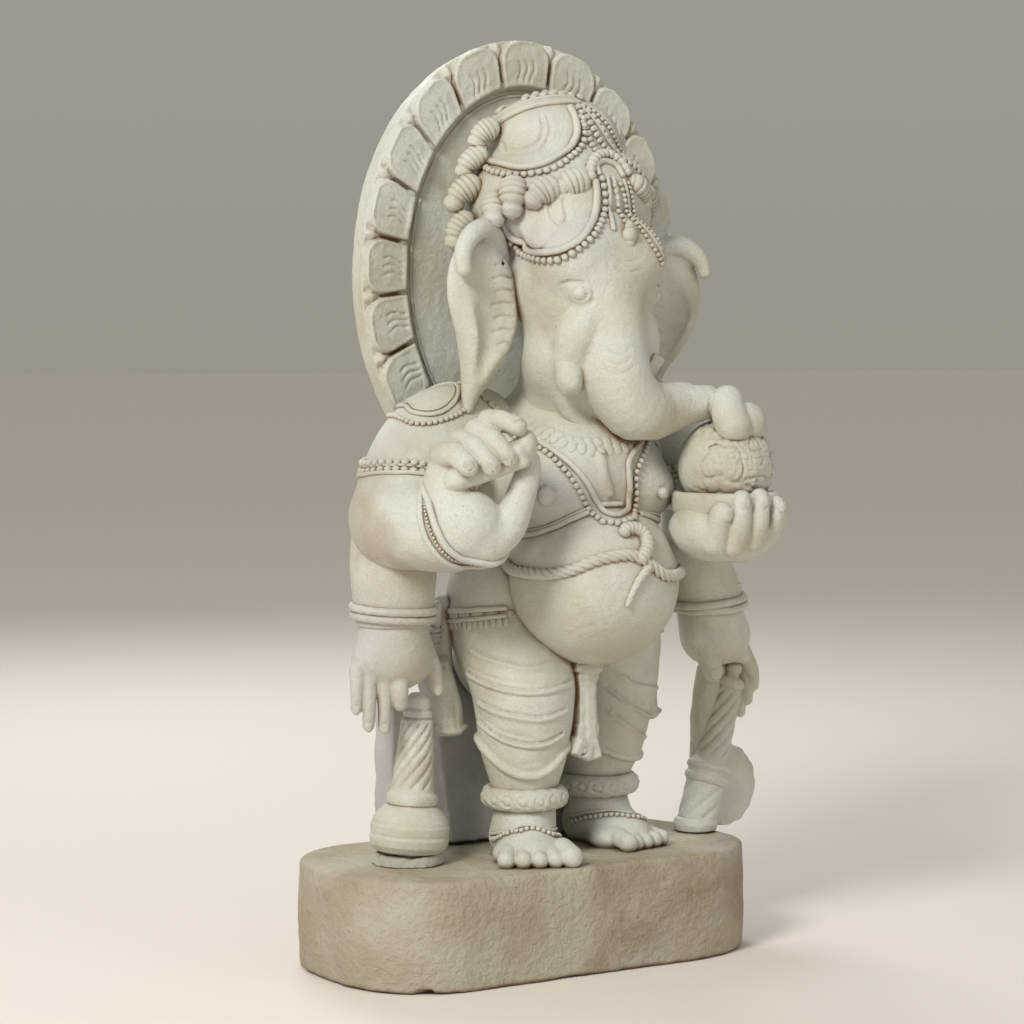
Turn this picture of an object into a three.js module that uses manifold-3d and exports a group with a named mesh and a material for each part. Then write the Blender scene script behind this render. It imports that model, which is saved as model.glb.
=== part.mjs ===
// A standing elephant-headed figure carved in white marble, on a rounded plinth, with an oval
// halo behind its head. Millimetres, +Z up, the figure faces -Y, and its own right is -X.
// The origin is the centre of the plinth's underside.
import * as THREE from "three";
import { mergeVertices } from "three/addons/utils/BufferGeometryUtils.js";
import Module from "manifold-3d";

const wasm = await Module();
wasm.setup();

// Driving dimensions.
const GAP = 0.3; // joint line between neighbouring pieces
const SEGMENTS = 10; // facets round a thick limb
const SLIM = { radius: 30, segments: 8 }; // and round one thinner than this radius
const PLINTH = { halfLength: 262, halfDepth: 140, corner: 110, height: 122 };
const GROUND = PLINTH.height; // the figure stands on the plinth's top
const MID_X = 38; // the figure's own mid-plane, off the plinth's centre
const ANKLE = { side: 63, height: 193, radius: 38 };
const STEP_Y = { right: -40, left: 5 }; // the right foot is set forward of the left
const BELLY = { y: -84, z: 432, radii: [97, 95, 94] };
const HEAD = { y: -60, z: 765 };
const HALO = { z: 775, halfWidth: 204, halfHeight: 270, front: 54, back: 101, foot: 575 };
const REAR_ARM = { side: 214, y: -10, wrist: 401 };
const ANKLET = { radius: 42, thickness: 9 };
const BANGLE = { radius: 44, thickness: 9 };
const ELBOW = { side: 222, y: -38, z: 505 };
const SWEET = { x: 172, y: -150, z: 560, radius: 54 };
const MACE = { x: -157, y: -8, lean: 14 };
const AXE = { x: 234, y: -8, lean: 57, top: 316 };

const MARBLE = { color: 0xd9d3bf, roughness: 0.55, metalness: 0 };
const GREY_MARBLE = { color: 0xaaa4a6, roughness: 0.6, metalness: 0 };
const CEMENT = { color: 0xa7ab98, roughness: 0.85, metalness: 0 };

// Every builder below adds grow to its radii. It is 0 for a piece itself, and GAP for the
// space that the pieces after it keep clear of.
let grow = 0;

const UP = new THREE.Vector3(0, 1, 0);
const vec = (p) => new THREE.Vector3(p[0], p[1], p[2]);

function solid(geometry) {
  geometry.deleteAttribute("normal");
  geometry.deleteAttribute("uv");
  const merged = mergeVertices(geometry, 1e-3);
  const index = merged.index.array;
  const triangles = [];
  for (let i = 0; i < index.length; i += 3) {
    const [a, b, c] = [index[i], index[i + 1], index[i + 2]];
    if (a !== b && b !== c && c !== a) triangles.push(a, b, c);
  }
  const build = (order) =>
    new wasm.Manifold(
      new wasm.Mesh({
        numProp: 3,
        vertProperties: new Float32Array(merged.attributes.position.array),
        triVerts: new Uint32Array(order),
      }),
    );
  const made = build(triangles);
  return made.volume() < 0 ? build(triangles.reverse()) : made;
}

const join = (...solids) => solids.reduce((all, next) => all.add(next));

// An ellipsoid, turned by XYZ angles in degrees.
function ball(centre, radii, turn = [0, 0, 0], around = SEGMENTS) {
  const geometry = new THREE.SphereGeometry(1, around, Math.ceil(around * 0.5));
  geometry.rotateX(Math.PI / 2);
  geometry.scale(radii[0] + grow, radii[1] + grow, radii[2] + grow);
  const [x, y, z] = turn.map(THREE.MathUtils.degToRad);
  geometry.applyMatrix4(new THREE.Matrix4().makeRotationFromEuler(new THREE.Euler(x, y, z)));
  geometry.translate(...centre);
  return solid(geometry);
}

// A profile of [radius, height] pairs turned about the line that starts at foot.
function turned(foot, direction, profile, around = SEGMENTS) {
  const points = profile.map(([r, h]) => new THREE.Vector2(r, h));
  const geometry = new THREE.LatheGeometry(points, around);
  const spin = new THREE.Quaternion().setFromUnitVectors(UP, vec(direction).normalize());
  geometry.applyQuaternion(spin);
  geometry.translate(...foot);
  return solid(geometry);
}

// A tapered rod with round ends.
function rod(from, to, fromRadius, toRadius) {
  const r1 = fromRadius + grow;
  const r2 = toRadius + grow;
  const axis = vec(to).sub(vec(from));
  const length = axis.length();
  const profile = [[0, -r1]];
  for (const a of [-45, 0]) {
    const t = THREE.MathUtils.degToRad(a);
    profile.push([r1 * Math.cos(t), r1 * Math.sin(t)]);
  }
  for (const a of [0, 45]) {
    const t = THREE.MathUtils.degToRad(a);
    profile.push([r2 * Math.cos(t), length + r2 * Math.sin(t)]);
  }
  profile.push([0, length + r2]);
  return turned(from, axis.toArray(), profile, r1 > SLIM.radius ? SEGMENTS : SLIM.segments);
}

// Rods joined end to end through [x, y, z, radius] stations.
function limb(...stations) {
  const rods = [];
  for (let i = 1; i < stations.length; i++) {
    const [a, b] = [stations[i - 1], stations[i]];
    rods.push(rod(a.slice(0, 3), b.slice(0, 3), a[3], b[3]));
  }
  return join(...rods);
}

// A ring of round section, oval in plan, lying square to the direction it faces.
function ring(centre, radii, thickness, facing = [0, 0, 1], around = 20) {
  const geometry = new THREE.TorusGeometry(1, 0.5, 6, around);
  const position = geometry.attributes.position;
  for (let i = 0; i < position.count; i++) {
    const angle = Math.atan2(position.getY(i), position.getX(i));
    const out = Math.hypot(position.getX(i), position.getY(i)) - 1;
    const reach = 2 * out * (thickness + grow);
    position.setXYZ(
      i,
      Math.cos(angle) * (radii[0] + reach),
      Math.sin(angle) * (radii[1] + reach),
      2 * position.getZ(i) * (thickness + grow),
    );
  }
  const forward = vec(facing).normalize();
  const toFacing = new THREE.Quaternion().setFromUnitVectors(new THREE.Vector3(0, 0, 1), forward);
  geometry.applyQuaternion(toFacing);
  geometry.translate(...centre);
  return solid(geometry);
}

// A round cord along a smooth curve through points.
function cord(points, radius, steps = 20) {
  const section = new THREE.Shape();
  section.absarc(0, 0, radius + grow, 0, Math.PI * 2);
  const path = new THREE.CatmullRomCurve3(points.map(vec));
  return solid(
    new THREE.ExtrudeGeometry(section, {
      extrudePath: path,
      steps,
      curveSegments: 4,
      bevelEnabled: false,
    }),
  );
}

function box(centre, size, turn = [0, 0, 0]) {
  const geometry = new THREE.BoxGeometry(size[0] + 2 * grow, size[1] + 2 * grow, size[2] + 2 * grow);
  const [x, y, z] = turn.map(THREE.MathUtils.degToRad);
  geometry.applyMatrix4(new THREE.Matrix4().makeRotationFromEuler(new THREE.Euler(x, y, z)));
  geometry.translate(...centre);
  return solid(geometry);
}

// An upright outline in the XZ plane, given depth along Y.
function upright(shape, front, back, curveSegments = 12) {
  const depth = back - front + 2 * grow;
  const geometry = new THREE.ExtrudeGeometry(shape, { depth, curveSegments, bevelEnabled: false });
  geometry.rotateX(Math.PI / 2);
  geometry.translate(0, back + grow, 0);
  return solid(geometry);
}

// The stretch of an oval above a level foot, as a shape in the XZ plane.
function arch(halfWidth, halfHeight, inner = 0) {
  const wide = halfWidth + grow;
  const tall = halfHeight + grow;
  const drop = Math.asin((HALO.z - HALO.foot + grow) / tall);
  const shape = new THREE.Shape();
  shape.absellipse(MID_X, HALO.z, wide, tall, -drop, Math.PI + drop);
  if (inner > 0) {
    const narrow = halfWidth - inner - grow;
    const low = halfHeight - inner - grow;
    const innerDrop = Math.asin((HALO.z - HALO.foot + grow) / low);
    shape.absellipse(MID_X, HALO.z, narrow, low, Math.PI + innerDrop, -innerDrop, true);
  }
  return shape;
}

function plinth() {
  const { halfLength, halfDepth, corner, height } = PLINTH;
  const [l, d, r] = [halfLength + grow, halfDepth + grow, corner + grow];
  const shape = new THREE.Shape();
  shape.absarc(l - r, d - r, r, 0, Math.PI / 2);
  shape.absarc(-l + r, d - r, r, Math.PI / 2, Math.PI);
  shape.absarc(-l + r, -d + r, r, Math.PI, Math.PI * 1.5);
  shape.absarc(l - r, -d + r, r, Math.PI * 1.5, Math.PI * 2);
  const depth = height + grow;
  return solid(new THREE.ExtrudeGeometry(shape, { depth, curveSegments: 7, bevelEnabled: false }));
}

// The pieces that each side of the body has. side is -1 for its right and 1 for its left.
const across = (side, offset) => MID_X + side * offset;
const stepOf = (side) => (side < 0 ? STEP_Y.right : STEP_Y.left);

function foot(side) {
  const [x, y] = [across(side, ANKLE.side), stepOf(side)];
  const toes = side < 0 ? x - 1 : x + 18;
  return join(
    ball([x, y + 12, GROUND + 22], [34, 34, 34]),
    ball([toes, y - 36, GROUND + 12], [44, 50, 26]),
    rod([x, y, GROUND + 30], [x, y, ANKLE.height], 35, 35),
  );
}

function leg(side) {
  const [x, y] = [across(side, ANKLE.side), stepOf(side)];
  const knee = side < 0 ? x : x + 6;
  return limb(
    [x, y, ANKLE.height - 4, ANKLE.radius],
    [knee, y, 262, 52],
    [knee, y * 0.9, 320, 61],
    [across(side, 62), 0, 380, 66],
  );
}

function upperArm(side) {
  return limb(
    [across(side, 118), 0, 590, 60],
    [across(side, 165), -12, 578, 62],
    [across(side, ELBOW.side), ELBOW.y + 4, ELBOW.z, 55],
  );
}

function frontForearm(side) {
  const wrist = side < 0 ? [across(side, 208), -122, 492] : [across(side, 190), -118, 465];
  return limb([across(side, ELBOW.side), ELBOW.y, ELBOW.z, 51], [...wrist, 41]);
}

function rearForearm(side) {
  const x = across(side, REAR_ARM.side);
  return limb([x, REAR_ARM.y, 500, 48], [x, REAR_ARM.y, 392, 43]);
}

function rearHand(side) {
  const x = across(side, REAR_ARM.side);
  const fingers = across(side, REAR_ARM.side + 20);
  const thumb = across(side, REAR_ARM.side - 42);
  const y = REAR_ARM.y;
  return join(
    ball([x, y - 2, 356], [54, 33, 48]),
    ball([fingers, y - 10, 312], [31, 22, 46]),
    rod([thumb + side * 8, y - 4, 350], [thumb, y - 14, 322], 16, 11),
  );
}

function raisedHand() {
  return join(
    ball([-172, -152, 512], [38, 32, 48], [0, 12, 0]),
    ball([-148, -156, 578], [46, 30, 30], [0, -20, 0]),
    limb([-138, -150, 480, 24], [-104, -152, 530, 16], [-90, -152, 570, 12]),
  );
}

function cuppedHand() {
  return join(
    ball([178, -150, 470], [60, 54, 34]),
    ball([226, -160, 490], [20, 44, 44], [0, 14, 0]),
  );
}

function ear(side) {
  const turn = side * 14;
  return join(
    ball([across(side, 118), -46, 735], [43, 15, 84], [0, turn, 0]),
    rod([across(side, 122), -50, 690], [across(side, 124), -52, 638], 20, 13),
    limb([across(side, 156), -56, 782, 13], [across(side, 142), -58, 810, 14], [across(side, 106), -52, 806, 12]),
  );
}

function tusk(side) {
  const x = across(side, 45);
  return side < 0
    ? rod([x + 2, -84, 674], [x - 16, -112, 658], 14, 15)
    : rod([x - 4, -96, 678], [x + 4, -122, 670], 10, 8);
}

function sideSash(side) {
  return limb(
    [across(side, 140), 22, 398, 13],
    [across(side, 136), 22, 330, 20],
    [across(side, 126), 24, 278, 21],
  );
}

function head() {
  return join(
    rod([MID_X, -32, 600], [MID_X, -50, 660], 66, 66),
    ball([MID_X, HEAD.y, HEAD.z], [82, 85, 100], [0, 0, 0], 14),
    ball([MID_X, -72, 690], [68, 62, 62], [0, 0, 0], 12),
  );
}

function trunk() {
  return limb(
    [MID_X, -112, 752, 42],
    [MID_X, -124, 690, 37],
    [MID_X + 4, -126, 636, 40],
    [MID_X + 40, -132, 622, 33],
    [156, -142, 640, 24],
    [192, -148, 628, 25],
  );
}

function torso() {
  return join(
    ball([MID_X, -50, 545], [108, 84, 84], [0, 0, 0], 14),
    ball([MID_X, -2, 520], [128, 66, 128], [0, 0, 0], 12),
  );
}

function hips() {
  return join(
    ball([MID_X, 6, 392], [132, 68, 62], [0, 0, 0], 14),
    ball([MID_X, 30, 345], [112, 46, 78], [0, 0, 0], 12),
  );
}

function centreSash() {
  return join(
    box([MID_X, -66, 338], [38, 40, 20]),
    box([MID_X, -78, 290], [28, 18, 90]),
    box([MID_X, -80, 240], [34, 26, 30]),
  );
}

function maceAxis() {
  const foot = [MACE.x, MACE.y, GROUND + 10 + GAP];
  const direction = [MACE.lean, 0, 180];
  return [foot, direction];
}

function maceBedding() {
  const r = 40 + grow;
  const foot = [MACE.x, MACE.y, GROUND];
  return turned(foot, [0, 0, 1], [[0, 0], [r, 0], [r - 2, 10 + grow], [0, 10 + grow]], 20);
}

function maceHead() {
  const g = grow;
  const profile = [[0, -g], [34 + g, -g], [44 + g, 24], [46 + g, 32], [45 + g, 40]];
  profile.push([30 + g, 57], [29 + g, 60 + g], [0, 60 + g]);
  return turned(...maceAxis(), profile, 20);
}

function maceShaft() {
  const g = grow;
  const profile = [[0, 60], [29 + g, 60], [29 + g, 72], [25 + g, 76], [20 + g, 152]];
  profile.push([16 + g, 155], [16 + g, 166], [13 + g, 168], [12 + g, 178], [6 + g, 184 + g], [0, 185 + g]);
  return turned(...maceAxis(), profile, 16);
}

const axeDirection = [AXE.lean, 0, AXE.top - GROUND];

function axeFoot() {
  const g = grow;
  const profile = [[0, 0], [25 + g, 0], [27 + g, 9], [24 + g, 18 + g], [0, 18 + g]];
  return turned([AXE.x, AXE.y, GROUND], [0, 0, 1], profile, 16);
}

function axeShaft() {
  const g = grow;
  const foot = [AXE.x, AXE.y, GROUND + 6];
  const profile = [[0, 2], [24 + g, 2], [25 + g, 54], [28 + g, 56], [28 + g, 78], [20 + g, 82]];
  profile.push([16 + g, 168], [16 + g, 180], [12 + g, 182], [11 + g, 196], [5 + g, 202 + g], [0, 203 + g]);
  return turned(foot, axeDirection, profile, 16);
}

function axeBlade() {
  const shape = new THREE.Shape();
  shape.absellipse(292, 172, 44 + grow, 50 + grow, 0, Math.PI * 2);
  return upright(shape, -6, 8, 10);
}

function backWedge() {
  const shape = new THREE.Shape();
  const g = grow;
  shape.moveTo(-66 - g, GROUND - g);
  shape.lineTo(146 + g, GROUND - g);
  shape.lineTo(146 + g, 340 + g);
  shape.lineTo(-92 - g, 340 + g);
  return upright(shape, 52, 96);
}

function bowl() {
  const g = grow;
  const profile = [[0, -g], [26 + g, -g], [48 + g, 16], [55 + g, 34], [60 + g, 38], [60 + g, 66 + g]];
  profile.push([50, 66 + g], [40, 48], [0, 40]);
  return turned([SWEET.x, SWEET.y, 456], [0, 0, 1], profile, 20);
}

function heldCake() {
  return box([-126, -156, 566], [78, 44, 20], [0, -22, 0]);
}

function crownBase() {
  return join(
    ball([MID_X, -8, 850], [110, 110, 84], [0, 0, 0], 14),
    ball([MID_X, 6, 800], [96, 60, 70], [0, 0, 0], 12),
  );
}

function tassel() {
  return limb([MID_X, -118, 893, 15], [MID_X + 3, -134, 850, 11], [MID_X + 6, -146, 812, 12]);
}

function necklace() {
  const half = [[72, -62, 616], [62, -102, 590], [42, -126, 552], [18, -134, 520]];
  const right = half.map(([o, y, z]) => [MID_X - o, y, z]);
  const left = half.map(([o, y, z]) => [MID_X + o, y, z]).reverse();
  return join(cord([...right, [MID_X, -136, 511], ...left], 9, 16), ball([MID_X, -128, 558], [22, 12, 34]));
}

function bellyRope() {
  const loop = ring([MID_X, -78, 458], [96, 98], 7, [0, 0.05, 1], 20);
  return join(loop, limb([MID_X + 6, -180, 486, 8], [MID_X + 12, -184, 462, 7], [MID_X + 4, -184, 424, 4]));
}

function sweetBall() {
  const { x, y, z, radius } = SWEET;
  return ball([x, y, z], [radius, radius, radius], [0, 0, 0], 14);
}

function bangle(side, offset, y, z, { radius, thickness }) {
  return ring([across(side, offset), y, z], [radius, radius], thickness, [0, 0, 1], 16);
}

// Pieces in carving order: each one is cut back from all those above it.
const pieces = [
  ["plinth", MARBLE, plinth],
  ["mace_bedding", CEMENT, maceBedding],
  ["mace_head", MARBLE, maceHead],
  ["mace_shaft", MARBLE, maceShaft],
  ["axe_foot", MARBLE, axeFoot],
  ["axe_shaft", MARBLE, axeShaft],
  ["axe_blade", MARBLE, axeBlade],
  ["back_support", GREY_MARBLE, backWedge],
  ["foot_right", MARBLE, () => foot(-1)],
  ["foot_left", MARBLE, () => foot(1)],
  ["leg_right", MARBLE, () => leg(-1)],
  ["leg_left", MARBLE, () => leg(1)],
  ["belly", MARBLE, () => ball([MID_X, BELLY.y, BELLY.z], BELLY.radii, [0, 0, 0], 18)],
  ["hips", MARBLE, hips],
  ["torso", MARBLE, torso],
  ["head", MARBLE, head],
  ["trunk", MARBLE, trunk],
  ["sweet_ball", MARBLE, sweetBall],
  ["bowl", MARBLE, bowl],
  ["upper_arm_right", MARBLE, () => upperArm(-1)],
  ["upper_arm_left", MARBLE, () => upperArm(1)],
  ["front_forearm_right", MARBLE, () => frontForearm(-1)],
  ["front_forearm_left", MARBLE, () => frontForearm(1)],
  ["held_cake", MARBLE, heldCake],
  ["raised_hand_right", MARBLE, raisedHand],
  ["cupped_hand_left", MARBLE, cuppedHand],
  ["rear_forearm_right", MARBLE, () => rearForearm(-1)],
  ["rear_forearm_left", MARBLE, () => rearForearm(1)],
  ["rear_hand_right", MARBLE, () => rearHand(-1)],
  ["rear_hand_left", MARBLE, () => rearHand(1)],
  ["back_strut_right", GREY_MARBLE, () => box([-146, 50, 250], [24, 44, 256])],
  ["axe_strut", MARBLE, () => rod([230, 14, 134], [277, 8, 300], 12, 10)],
  ["tusk_right", MARBLE, () => tusk(-1)],
  ["tusk_left", MARBLE, () => tusk(1)],
  ["crown_base", MARBLE, crownBase],
  ["crown_top", MARBLE, () => ball([MID_X, 0, 925], [76, 74, 52], [0, 0, 0], 12)],
  ["crown_tassel", MARBLE, tassel],
  ["ear_right", MARBLE, () => ear(-1)],
  ["ear_left", MARBLE, () => ear(1)],
  ["halo_slab", MARBLE, () => upright(arch(192, 267), HALO.front + 12, HALO.back, 18)],
  ["hair_curls", MARBLE, () => ring([MID_X, -2, 856], [120, 112], 17, [0, 0.2, 1], 20)],
  ["halo_moulding", MARBLE, () => upright(arch(166, 229, 16), HALO.front - 2, HALO.front + 11.4, 16)],
  ["halo_petals", MARBLE, () => upright(arch(197, 272, 30), HALO.front, HALO.front + 11.4, 18)],
  ["waist_belt", MARBLE, () => ring([MID_X, 6, 398], [130, 68], 9, [0, 0, 1], 16)],
  ["centre_sash", MARBLE, centreSash],
  ["side_sash_right", MARBLE, () => sideSash(-1)],
  ["side_sash_left", MARBLE, () => sideSash(1)],
  ["anklet_right", MARBLE, () => bangle(-1, ANKLE.side, STEP_Y.right, ANKLE.height, ANKLET)],
  ["anklet_left", MARBLE, () => bangle(1, ANKLE.side, STEP_Y.left, ANKLE.height, ANKLET)],
  ["belly_rope", MARBLE, bellyRope],
  ["chest_band", MARBLE, () => ring([MID_X, -52, 502], [103, 86], 5, [0, 0, 1], 16)],
  ["necklace", MARBLE, necklace],
  ["shoulder_plate_right", MARBLE, () => ball([across(-1, 146), -14, 622], [48, 42, 22], [0, -18, 0])],
  ["shoulder_plate_left", MARBLE, () => ball([across(1, 146), -14, 622], [48, 42, 22], [0, 18, 0])],
  ["armlet_right", MARBLE, () => ring([across(-1, 196), -26, 540], [58, 58], 8, [-57, -22, -73], 16)],
  ["armlet_left", MARBLE, () => ring([across(1, 196), -26, 540], [58, 58], 8, [57, -22, -73], 16)],
  ["front_bangle_right", MARBLE, () => ring([across(-1, 209), -118, 493], [44, 44], 8, [14, -84, -13], 16)],
  ["rear_bangle_right", MARBLE, () => bangle(-1, REAR_ARM.side, REAR_ARM.y, REAR_ARM.wrist, BANGLE)],
  ["rear_bangle_left", MARBLE, () => bangle(1, REAR_ARM.side, REAR_ARM.y, REAR_ARM.wrist, BANGLE)],
];

function touches(a, b) {
  return a.min.every((low, i) => low <= b.max[i] && a.max[i] >= b.min[i]);
}

function largest(made) {
  const bodies = made.decompose().filter((body) => body.volume() > 0);
  return bodies.reduce((best, body) => (body.volume() > best.volume() ? body : best));
}

function meshOf(name, finish, made) {
  const { vertProperties, triVerts } = made.getMesh();
  const geometry = new THREE.BufferGeometry();
  geometry.setAttribute("position", new THREE.BufferAttribute(vertProperties, 3));
  geometry.setIndex(new THREE.BufferAttribute(triVerts, 1));
  geometry.computeVertexNormals();
  const mesh = new THREE.Mesh(geometry, new THREE.MeshStandardMaterial(finish));
  mesh.name = name;
  return mesh;
}

const group = new THREE.Group();
const placed = [];
for (const [name, finish, make] of pieces) {
  grow = 0;
  let made = make();
  const reach = made.boundingBox();
  for (const kept of placed) {
    if (touches(kept.boundingBox(), reach)) made = made.subtract(kept);
  }
  group.add(meshOf(name, finish, largest(made)));
  grow = GAP;
  placed.push(make());
}

export default group;
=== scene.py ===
import math
from functools import partial

import bpy
import numpy as np
import openvdb
from mathutils import Matrix, Vector


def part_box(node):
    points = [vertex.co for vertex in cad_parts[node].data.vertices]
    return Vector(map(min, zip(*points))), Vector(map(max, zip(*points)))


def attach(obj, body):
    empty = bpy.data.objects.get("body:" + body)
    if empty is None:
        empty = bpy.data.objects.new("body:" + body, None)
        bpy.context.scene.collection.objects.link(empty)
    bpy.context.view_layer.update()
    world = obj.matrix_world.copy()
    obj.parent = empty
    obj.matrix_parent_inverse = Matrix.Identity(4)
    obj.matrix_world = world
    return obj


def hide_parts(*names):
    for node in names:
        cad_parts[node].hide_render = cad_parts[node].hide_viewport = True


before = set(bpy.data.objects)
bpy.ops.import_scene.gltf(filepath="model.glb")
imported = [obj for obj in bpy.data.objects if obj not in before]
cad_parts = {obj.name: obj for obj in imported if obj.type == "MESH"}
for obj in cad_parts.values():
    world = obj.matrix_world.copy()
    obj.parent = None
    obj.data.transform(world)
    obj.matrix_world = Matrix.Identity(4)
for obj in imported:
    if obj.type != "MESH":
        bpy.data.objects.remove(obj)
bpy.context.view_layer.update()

# Lengths in this script are millimetres until a mesh is made. The figure faces -Y.
MM = 0.001
FAR = 60.0  # what a block of clay holds where nothing was added
THIN = 3.0  # voxels on each side of a surface that are kept when it is meshed


def node_box(name):
    low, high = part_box(name)
    return np.array(low) / MM, np.array(high) / MM


def middle(name):
    low, high = node_box(name)
    return (low + high) / 2


MID = float(middle("halo_slab")[0])  # the figure's own mid-plane
GROUND = float(node_box("plinth")[1][2])
SWEET = middle("sweet_ball")
SIDE_NAME = {-1: "right", 1: "left"}  # the figure's own right is towards -X
ANKLE = {side: middle("anklet_" + name) for side, name in SIDE_NAME.items()}
HALO_Z = 775.0


def across(side, offset):
    return MID + side * offset


def beside(side, offset, y, z, *radius):
    return (across(side, offset), y, z, *radius)


# ---------------------------------------------------------------- curves


def spline(points, step=3.0, closed=False):
    """Points at even spacing along a smooth curve; extra columns such as a radius are carried along."""
    p = np.asarray(points, float)
    n = len(p)
    padded = np.vstack([p[-1:], p, p[:2]] if closed else [2 * p[0] - p[1], p, 2 * p[-1] - p[-2]])
    t = np.linspace(0, 1, 16, endpoint=False)[:, None]
    out = []
    for i in range(n if closed else n - 1):
        a, b, c, d = padded[i : i + 4]
        square, cube = 2 * a - 5 * b + 4 * c - d, 3 * b - a - 3 * c + d
        out.append(0.5 * (2 * b + (c - a) * t + square * t**2 + cube * t**3))
    out.append(p[:1] if closed else p[-1:])
    return resample(np.vstack(out), step)


def resample(curve, step):
    seg = np.linalg.norm(np.diff(curve[:, :3], axis=0), axis=1)
    run = np.concatenate([[0], np.cumsum(seg)])
    count = max(2, int(round(run[-1] / step)) + 1)
    at = np.linspace(0, run[-1], count)
    return np.stack([np.interp(at, run, curve[:, k]) for k in range(curve.shape[1])], axis=1)


def oval(centre, radii, across_axis, up_axis, start=0, stop=360, step=3.0):
    a = np.radians(np.linspace(start, stop, 90))[:, None]
    u, v = unit(across_axis), unit(up_axis)
    return resample(np.asarray(centre, float) + radii[0] * np.cos(a) * u + radii[1] * np.sin(a) * v, step)


def unit(v):
    v = np.asarray(v, float)
    return v / np.linalg.norm(v)


def turn_matrix(degrees):
    x, y, z = (math.radians(d) for d in degrees)
    return np.array(Matrix.Rotation(x, 3, "X") @ Matrix.Rotation(y, 3, "Y") @ Matrix.Rotation(z, 3, "Z"))


TURN = math.radians(-32)  # both front hands are carved square to this heading
ACROSS = np.array((math.cos(TURN), math.sin(TURN), 0))
INTO = np.array((-math.sin(TURN), math.cos(TURN), 0))
HAND_TURN = (0, 0, -32)


def set_off(origin, right, height, deep, *radius):
    """A point right of, and deeper than, an upright line, in the turned frame; height is absolute."""
    p = np.array((origin[0], origin[1], 0.0)) + right * ACROSS + deep * INTO
    return (p[0], p[1], height, *radius)


# ---------------------------------------------------------------- noise

LATTICE = np.random.default_rng(7).random((32, 32, 32)).astype(np.float32) * 2 - 1


def noise(x, y, z, size):
    """Smooth noise from -1 to 1 with features of about that size, for broadcast coordinates."""
    grid = []
    for c in (x, y, z):
        s = np.asarray(c, np.float32) / size
        cell = np.floor(s)
        f = s - cell
        grid.append((cell.astype(int) & 31, (cell.astype(int) + 1) & 31, f * f * (3 - 2 * f)))
    (x0, x1, fx), (y0, y1, fy), (z0, z1, fz) = grid
    low = LATTICE[x0, y0, z0] * (1 - fx) + LATTICE[x1, y0, z0] * fx
    high = LATTICE[x0, y1, z0] * (1 - fx) + LATTICE[x1, y1, z0] * fx
    near = low * (1 - fy) + high * fy
    low = LATTICE[x0, y0, z1] * (1 - fx) + LATTICE[x1, y0, z1] * fx
    high = LATTICE[x0, y1, z1] * (1 - fx) + LATTICE[x1, y1, z1] * fx
    return near * (1 - fz) + (low * (1 - fy) + high * fy) * fz


# ---------------------------------------------------------------- shapes

# How far, and at what size, the worn surface moves in and out.
BODY_WAVES = ((0.5, 26), (0.15, 6))
HAND_WAVES = ((0.3, 18), (0.1, 5))

# A shape is a list of parts, each (lowest corner, highest corner, signed distance as a function of x, y, z).


def ball(centre, radii, turn=(0, 0, 0)):
    c = np.asarray(centre, np.float32)
    r = np.broadcast_to(np.asarray(radii, np.float32), 3)
    m = turn_matrix(turn).astype(np.float32)
    reach = np.sqrt(((m * r) ** 2).sum(1))

    def distance(x, y, z):
        d = (x - c[0], y - c[1], z - c[2])
        local = d if not any(turn) else [m[0, k] * d[0] + m[1, k] * d[1] + m[2, k] * d[2] for k in range(3)]
        near = np.sqrt(sum((q / s) ** 2 for q, s in zip(local, r)))
        steep = np.sqrt(sum((q / s**2) ** 2 for q, s in zip(local, r)))
        return near * (near - 1) / np.maximum(steep, 1e-6)

    return [(c - reach, c + reach, distance)]


def limb(*stations):
    """Tapered rods joined end to end through (x, y, z, radius) stations."""
    parts = []
    for a, b in zip(stations, stations[1:]):
        a, b = np.asarray(a, np.float32), np.asarray(b, np.float32)

        def distance(x, y, z, a=a, b=b):
            d = b[:3] - a[:3]
            px, py, pz = x - a[0], y - a[1], z - a[2]
            t = np.clip((px * d[0] + py * d[1] + pz * d[2]) / max(float(d @ d), 1e-6), 0, 1)
            off = np.sqrt((px - t * d[0]) ** 2 + (py - t * d[1]) ** 2 + (pz - t * d[2]) ** 2)
            return off - (a[3] + t * (b[3] - a[3]))

        thick = max(a[3], b[3])
        parts.append((np.minimum(a, b)[:3] - thick, np.maximum(a, b)[:3] + thick, distance))
    return parts


def bend(*stations, step=8.0):
    return limb(*spline(stations, step))


def line(points, radius):
    """A round cord of one radius along points, as a shape."""
    p = np.asarray(points, float)[:, :3]
    return limb(*np.hstack([p, np.full((len(p), 1), radius)]))


def block(centre, size, turn=(0, 0, 0), soft=2.0):
    c = np.asarray(centre, np.float32)
    half = np.asarray(size, np.float32) / 2
    m = turn_matrix(turn).astype(np.float32)
    reach = np.abs(m) @ half

    def distance(x, y, z):
        d = (x - c[0], y - c[1], z - c[2])
        q = [np.abs(m[0, k] * d[0] + m[1, k] * d[1] + m[2, k] * d[2]) - half[k] + soft for k in range(3)]
        outside = np.sqrt(sum(np.maximum(s, 0) ** 2 for s in q))
        return outside + np.minimum(np.maximum(np.maximum(q[0], q[1]), q[2]), 0) - soft

    return [(c - reach, c + reach, distance)]


def rounded(a, b, radius):
    """The distance outside two walls that meet in a rounded edge."""
    a, b = a + radius, b + radius
    return np.sqrt(np.maximum(a, 0) ** 2 + np.maximum(b, 0) ** 2) + np.minimum(np.maximum(a, b), 0) - radius


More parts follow.
